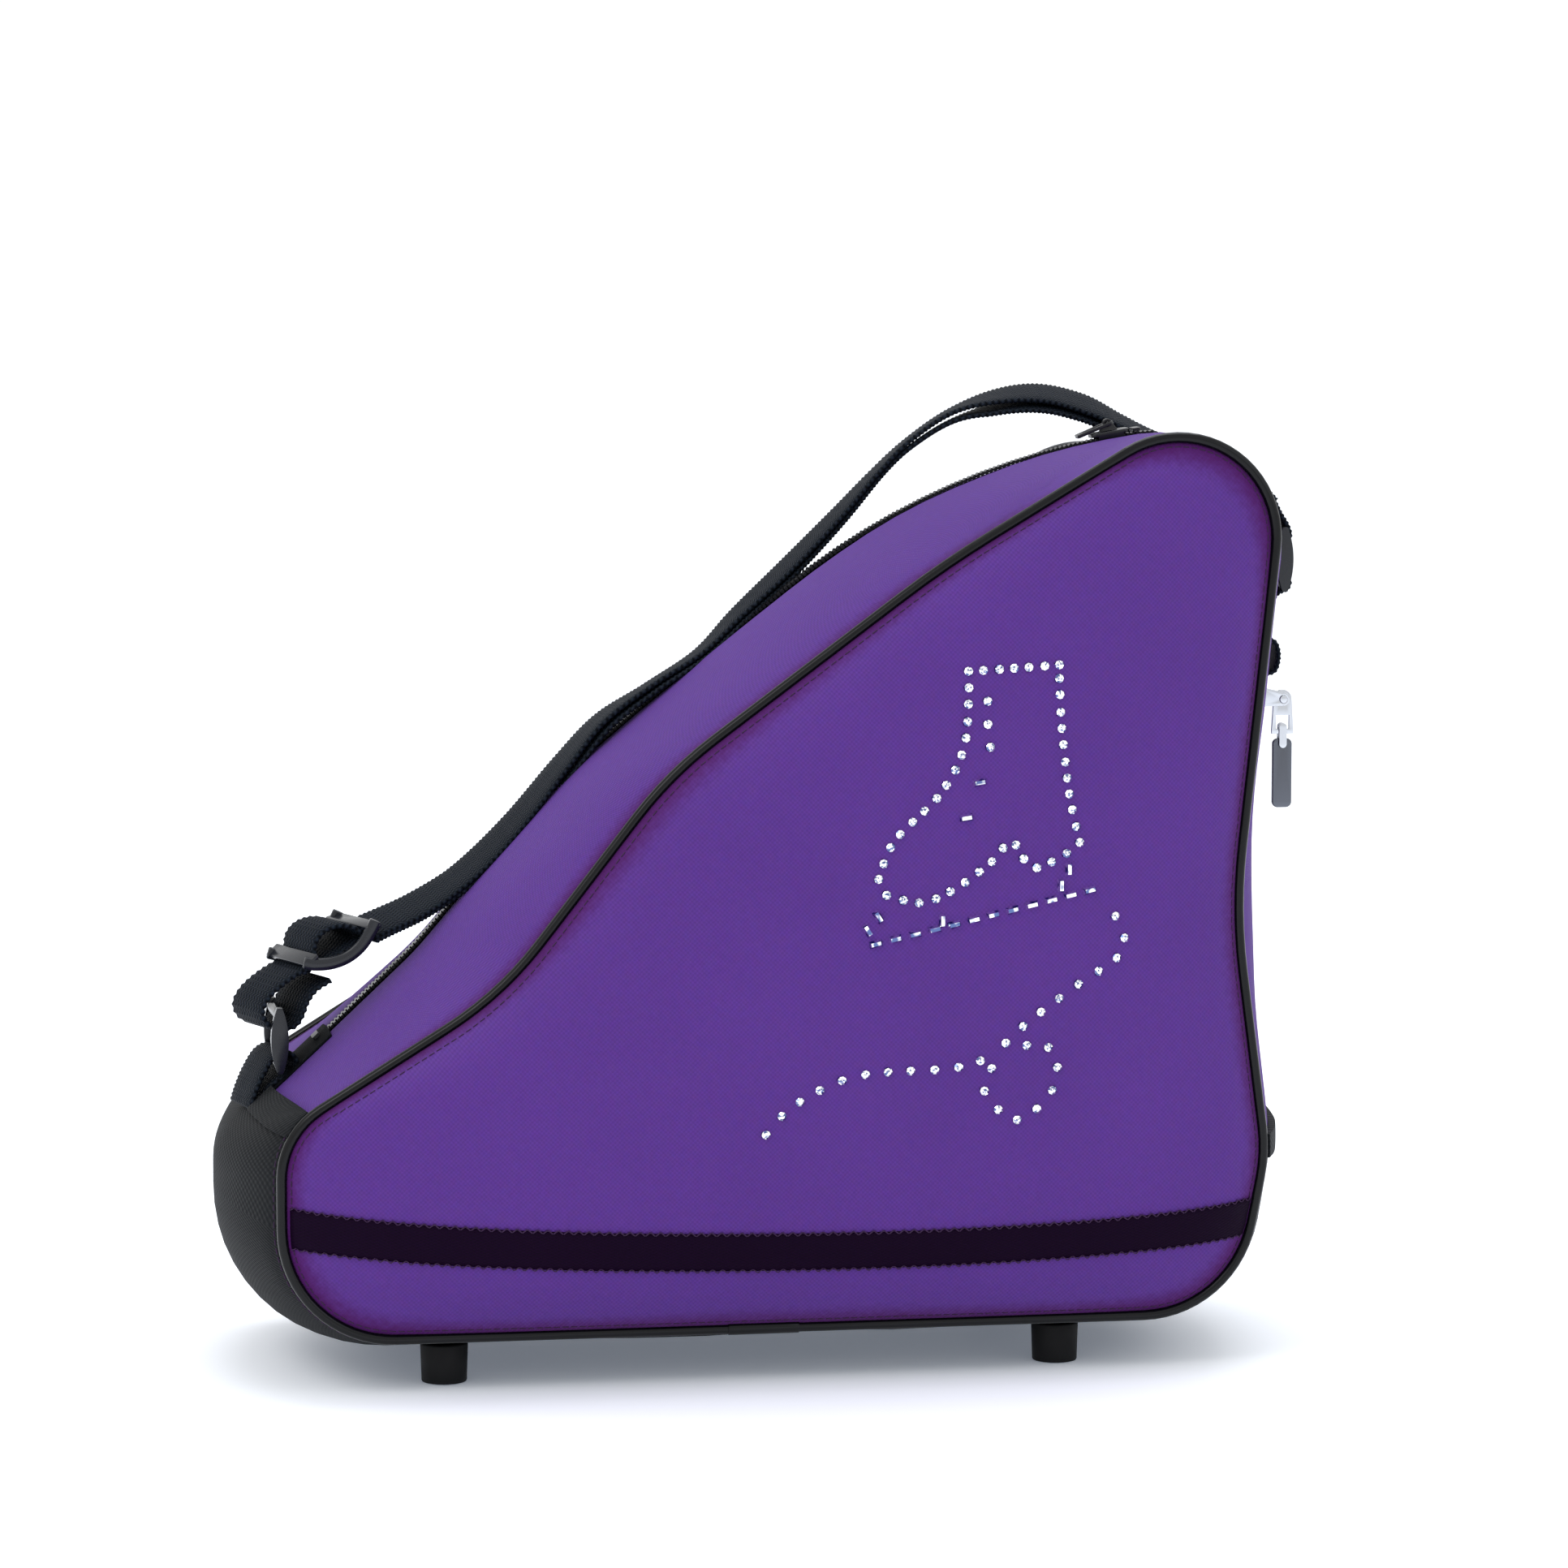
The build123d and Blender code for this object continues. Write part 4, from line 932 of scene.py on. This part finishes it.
class SKATEBAG_OT_strap(bpy.types.Operator):
    """Build the doubled shoulder strap, its sewn loops and its slide"""
    bl_idname = "skatebag.strap"
    bl_label = "Shoulder strap"

    def execute(self, context):
        rib = context.scene.skate_bag_sizes.rib / MM
        line = smooth_line(STRAP, 1)

        def pulled(x):
            return TOE_SKEW * max(0.0, min(1.0, (-118 - x) / 40))

        webbing_piece("strap_upper_layer", webbing_strip(line, rib, skew=pulled), "strap_upper_run")
        lower = []
        start = next(i for i, p in enumerate(line) if p[0] > -155)
        for i in range(start, len(line)):
            ahead = (line[min(i + 1, len(line) - 1)].xyz - line[i - 1].xyz).normalized()
            down = Vector((0, 1, 0)).cross(ahead).normalized()
            down = down if down.z < 0 else -down
            x = line[i][0]
            gap = 2.2 + 2.6 * max(0, 1 - abs(x - 92) / 40) + 0.5 * sin(x / 17)
            spot = line[i].xyz + down * gap + Vector((0, 1.2 * sin(x / 23), 0))
            lower.append(Vector((*spot, line[i][3] - 3 * sin(x / 31))))
        webbing_piece("strap_return_layer", webbing_strip(lower, rib, skew=pulled), "strap_return_run")
        # the toe end goes round the ring's top bar, bulges, and comes back up behind
        toe = ((-174.5, 153.4), (-181, 150.4), (-187.5, 146.4), (-193.6, 141), (-196.4, 135.2),
               (-194.2, 130.2), (-189, 128.6), (-184.2, 129.4), (-181.4, 133.4), (-179.4, 138.6),
               (-176, 143.2), (-170.5, 146.5))
        loop = webbing_strip(smooth_line(path_xz(toe, 0), 1), 2.6, rise=0.34, skew=lambda x: TOE_SKEW)
        webbing_piece("strap_toe_end", loop, "strap_toe_loop")
        heel = ((206.8, 323.6), (209.6, 318), (212.6, 313), (213.7, 308.8), (211.9, 306.0), (208.7, 306.4),
                (207.3, 310), (206.9, 316), (205.0, 321.0))
        loop = webbing_strip(smooth_line(path_xz(heel, 28), 1), rib)
        webbing_piece("strap_heel_end", loop, "strap_heel_loop")
        # the hump of webbing that the slide holds
        lean = radians(28.07)
        along, up = Vector((cos(lean), 0, sin(lean))), Vector((-sin(lean), 0, cos(lean)))
        middle = Vector((-166, 0, 157.5))
        hump = ((-10.2, 1.6), (-9.4, 5.0), (-6.4, 8.6), (-1.5, 10.2), (4.0, 9.0), (8.0, 5.8),
                (10.0, 2.4), (10.4, 1.2))
        line = smooth_line([middle + along * a + up * b for a, b in hump], 1)
        strip = webbing_strip(line, 2.2, rise=0.3, skew=lambda x: TOE_SKEW)
        webbing_piece("slide_hump", strip, "strap_slide_loop", "strap_slide")
        # the slide: two flat end bars between a pair of curved arms
        slide = bmesh.new()
        for a in (-13.2, 13.2):
            bar = bmesh.ops.create_cube(slide, size=1)["verts"]
            bmesh.ops.scale(slide, vec=(6.2, 33.5, 2.0), verts=bar)
            lie = Matrix.Rotation(-lean + radians(12 if a > 0 else -16), 4, "Y")
            lie = Matrix.Translation(middle + along * a + up * 3.9) @ lie
            bmesh.ops.transform(slide, matrix=lie, verts=bar)
        bmesh.ops.bevel(slide, geom=slide.edges[:], offset=0.6, offset_type="OFFSET", affect="EDGES",
                        segments=2, profile=0.5, material=-1)
        for vert in slide.verts:
            vert.co.x -= TOE_SKEW * vert.co.y
        piece("slide_bars", slide, MATERIALS["acetal"], "strap_slide", "plastic", ("strap_slide",))
        arc = ((-15.8, 4.6), (-12.5, 1.8), (-6.5, -0.9), (0, -1.7), (6.5, -0.3), (12.5, 3.0), (15.6, 5.2))
        for y, word in ((-15.2, "near"), (15.2, "far")):
            shift = Vector((-TOE_SKEW * y, y, 0))
            line = smooth_line([middle + shift + along * a + up * b for a, b in arc], 1)
            arm = webbing_strip(line, 1.2, 3.6, 4.6, rise=0.0)
            piece(f"slide_arm_{word}", arm, MATERIALS["acetal"], "strap_slide", "plastic", bevel=0.5)
        return {"FINISHED"}


class SKATEBAG_OT_inside(bpy.types.Operator):
    """Finish the feet and the pieces inside the bag"""
    bl_idname = "skatebag.inside"
    bl_label = "Feet and inside"

    def execute(self, context):
        low, high = [Vector(corner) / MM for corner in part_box("feet")]
        radius, tall = FOOT_RADIUS, FOOT_TALL
        bm = bmesh.new()
        for x in (low.x + radius, high.x - radius):
            for y in (low.y + radius, high.y - radius):
                bmesh.ops.create_cone(bm, cap_ends=True, segments=40, radius1=radius - 0.5, radius2=radius,
                                      depth=tall, matrix=Matrix.Translation((x, y, tall / 2)))
                # the sole's hollow, where the screw's head sits
                sole = [f for f in bm.faces if f.normal.z < -0.9
                        and (f.calc_center_median().xy - Vector((x, y))).length < 1]
                bmesh.ops.inset_region(bm, faces=sole, thickness=3.4)
                bmesh.ops.translate(bm, vec=(0, 0, 2.2), verts=list({v for f in sole for v in f.verts}))
        piece("feet_rubber", bm, MATERIALS["rubber"], slot="feet", stands_for=("feet",), bevel=0.8)
        repaint("board", "base_board")
        repaint("steel", "foot_screws", "foot_washers")
        repaint("lining", "front_lining", "back_lining", "gusset_lining")
        repaint("binding", "front_seam_binding", "back_seam_binding")
        return {"FINISHED"}


class SKATEBAG_OT_stage(bpy.types.Operator):
    """Set up the camera, the soft lights and the pale floor"""
    bl_idname = "skatebag.stage"
    bl_label = "Stage"

    def execute(self, context):
        scene = context.scene
        scene.view_settings.view_transform = "Standard"
        camera = bpy.data.objects.new("camera", bpy.data.cameras.new("camera"))
        scene.collection.objects.link(camera)
        camera.location = Vector((-384.93, -2239.71, 455.82)) * MM
        aim = Vector((-5, -85, 225.85)) * MM - camera.location
        camera.rotation_euler = aim.to_track_quat("-Z", "Y").to_euler()
        camera.data.sensor_width = 36
        camera.data.lens = 18 / tan(radians(7.5))
        scene.camera = camera

        bm = bmesh.new()
        bmesh.ops.create_grid(bm, x_segments=1, y_segments=1, size=9)
        mesh = bpy.data.meshes.new("floor")
        bm.to_mesh(mesh)
        bm.free()
        floor = bpy.data.objects.new("floor", mesh)
        scene.collection.objects.link(floor)
        material, tree = blank("painted studio floor")
        grain = add(tree, "ShaderNodeTexNoise", Scale=3.0, Detail=2.0,
                    Vector=add(tree, "ShaderNodeTexCoord").outputs["Object"])
        tone = add(tree, "ShaderNodeMix", {"data_type": "RGBA"}, Factor=grain.outputs["Fac"],
                   _6=srgb("#FAFCFF"), _7=srgb("#FFFFFF"))
        finish_off(tree, Base_Color=tone.outputs[2], Roughness=0.7, Emission_Color=srgb("#DCE9FF"),
                   Emission_Strength=0.16)
        mesh.materials.append(material)

        world = bpy.data.worlds.new("studio")
        world.use_nodes = True
        back = world.node_tree.nodes["Background"]
        back.inputs["Color"].default_value = srgb("#FDFEFF")
        back.inputs["Strength"].default_value = 1.06
        scene.world = world
        lights = (
            ("key", (-1.6, -1.4, 2.1), 1.2, 16, "#FFFFFF"),
            ("fill", (1.9, -1.7, 1.3), 1.4, 5, "#E6EEFF"),
            ("top", (0.2, 0.5, 2.2), 1.6, 22, "#F2F6FF"),
        )
        for name, place, size, watts, colour in lights:
            lamp = bpy.data.lights.new(name, "AREA")
            lamp.size = size
            lamp.energy = watts
            lamp.color = srgb(colour)[:3]
            obj = bpy.data.objects.new(name, lamp)
            obj.location = place
            obj.rotation_euler = (Vector((0, 0, 0.18)) - obj.location).to_track_quat("-Z", "Y").to_euler()
            scene.collection.objects.link(obj)
        return {"FINISHED"}


BUILD_ORDER = (
    SKATEBAG_OT_stage, SKATEBAG_OT_panels, SKATEBAG_OT_gusset, SKATEBAG_OT_base, SKATEBAG_OT_piping,
    SKATEBAG_OT_ribbon, SKATEBAG_OT_crystals, SKATEBAG_OT_zippers, SKATEBAG_OT_heel_pull, SKATEBAG_OT_rings,
    SKATEBAG_OT_strap, SKATEBAG_OT_inside,
)


class SKATEBAG_PT_panel(bpy.types.Panel):
    """Sizes, colours and one button for each group of pieces"""
    bl_label = "Skate bag"
    bl_idname = "SKATEBAG_PT_panel"
    bl_space_type = "VIEW_3D"
    bl_region_type = "UI"
    bl_category = "Skate bag"

    def draw(self, context):
        for group in (context.scene.skate_bag_sizes, context.scene.skate_bag_colours):
            for name in group.bl_rna.properties.keys():
                if name not in ("rna_type", "name"):
                    self.layout.prop(group, name)
        for operator in BUILD_ORDER:
            self.layout.operator(operator.bl_idname)


CLASSES = (SkateBagColours, SkateBagSizes, *BUILD_ORDER, SKATEBAG_PT_panel)


def register():
    for cls in CLASSES:
        bpy.utils.register_class(cls)
    bpy.types.Scene.skate_bag_sizes = PointerProperty(type=SkateBagSizes)
    bpy.types.Scene.skate_bag_colours = PointerProperty(type=SkateBagColours)


def unregister():
    del bpy.types.Scene.skate_bag_colours
    del bpy.types.Scene.skate_bag_sizes
    for cls in reversed(CLASSES):
        bpy.utils.unregister_class(cls)


def build():
    register()
    make_materials(bpy.context.scene.skate_bag_colours)
    for operator in BUILD_ORDER:
        getattr(bpy.ops.skatebag, operator.bl_idname.split(".")[1])()


if __name__ == "__main__":
    build()
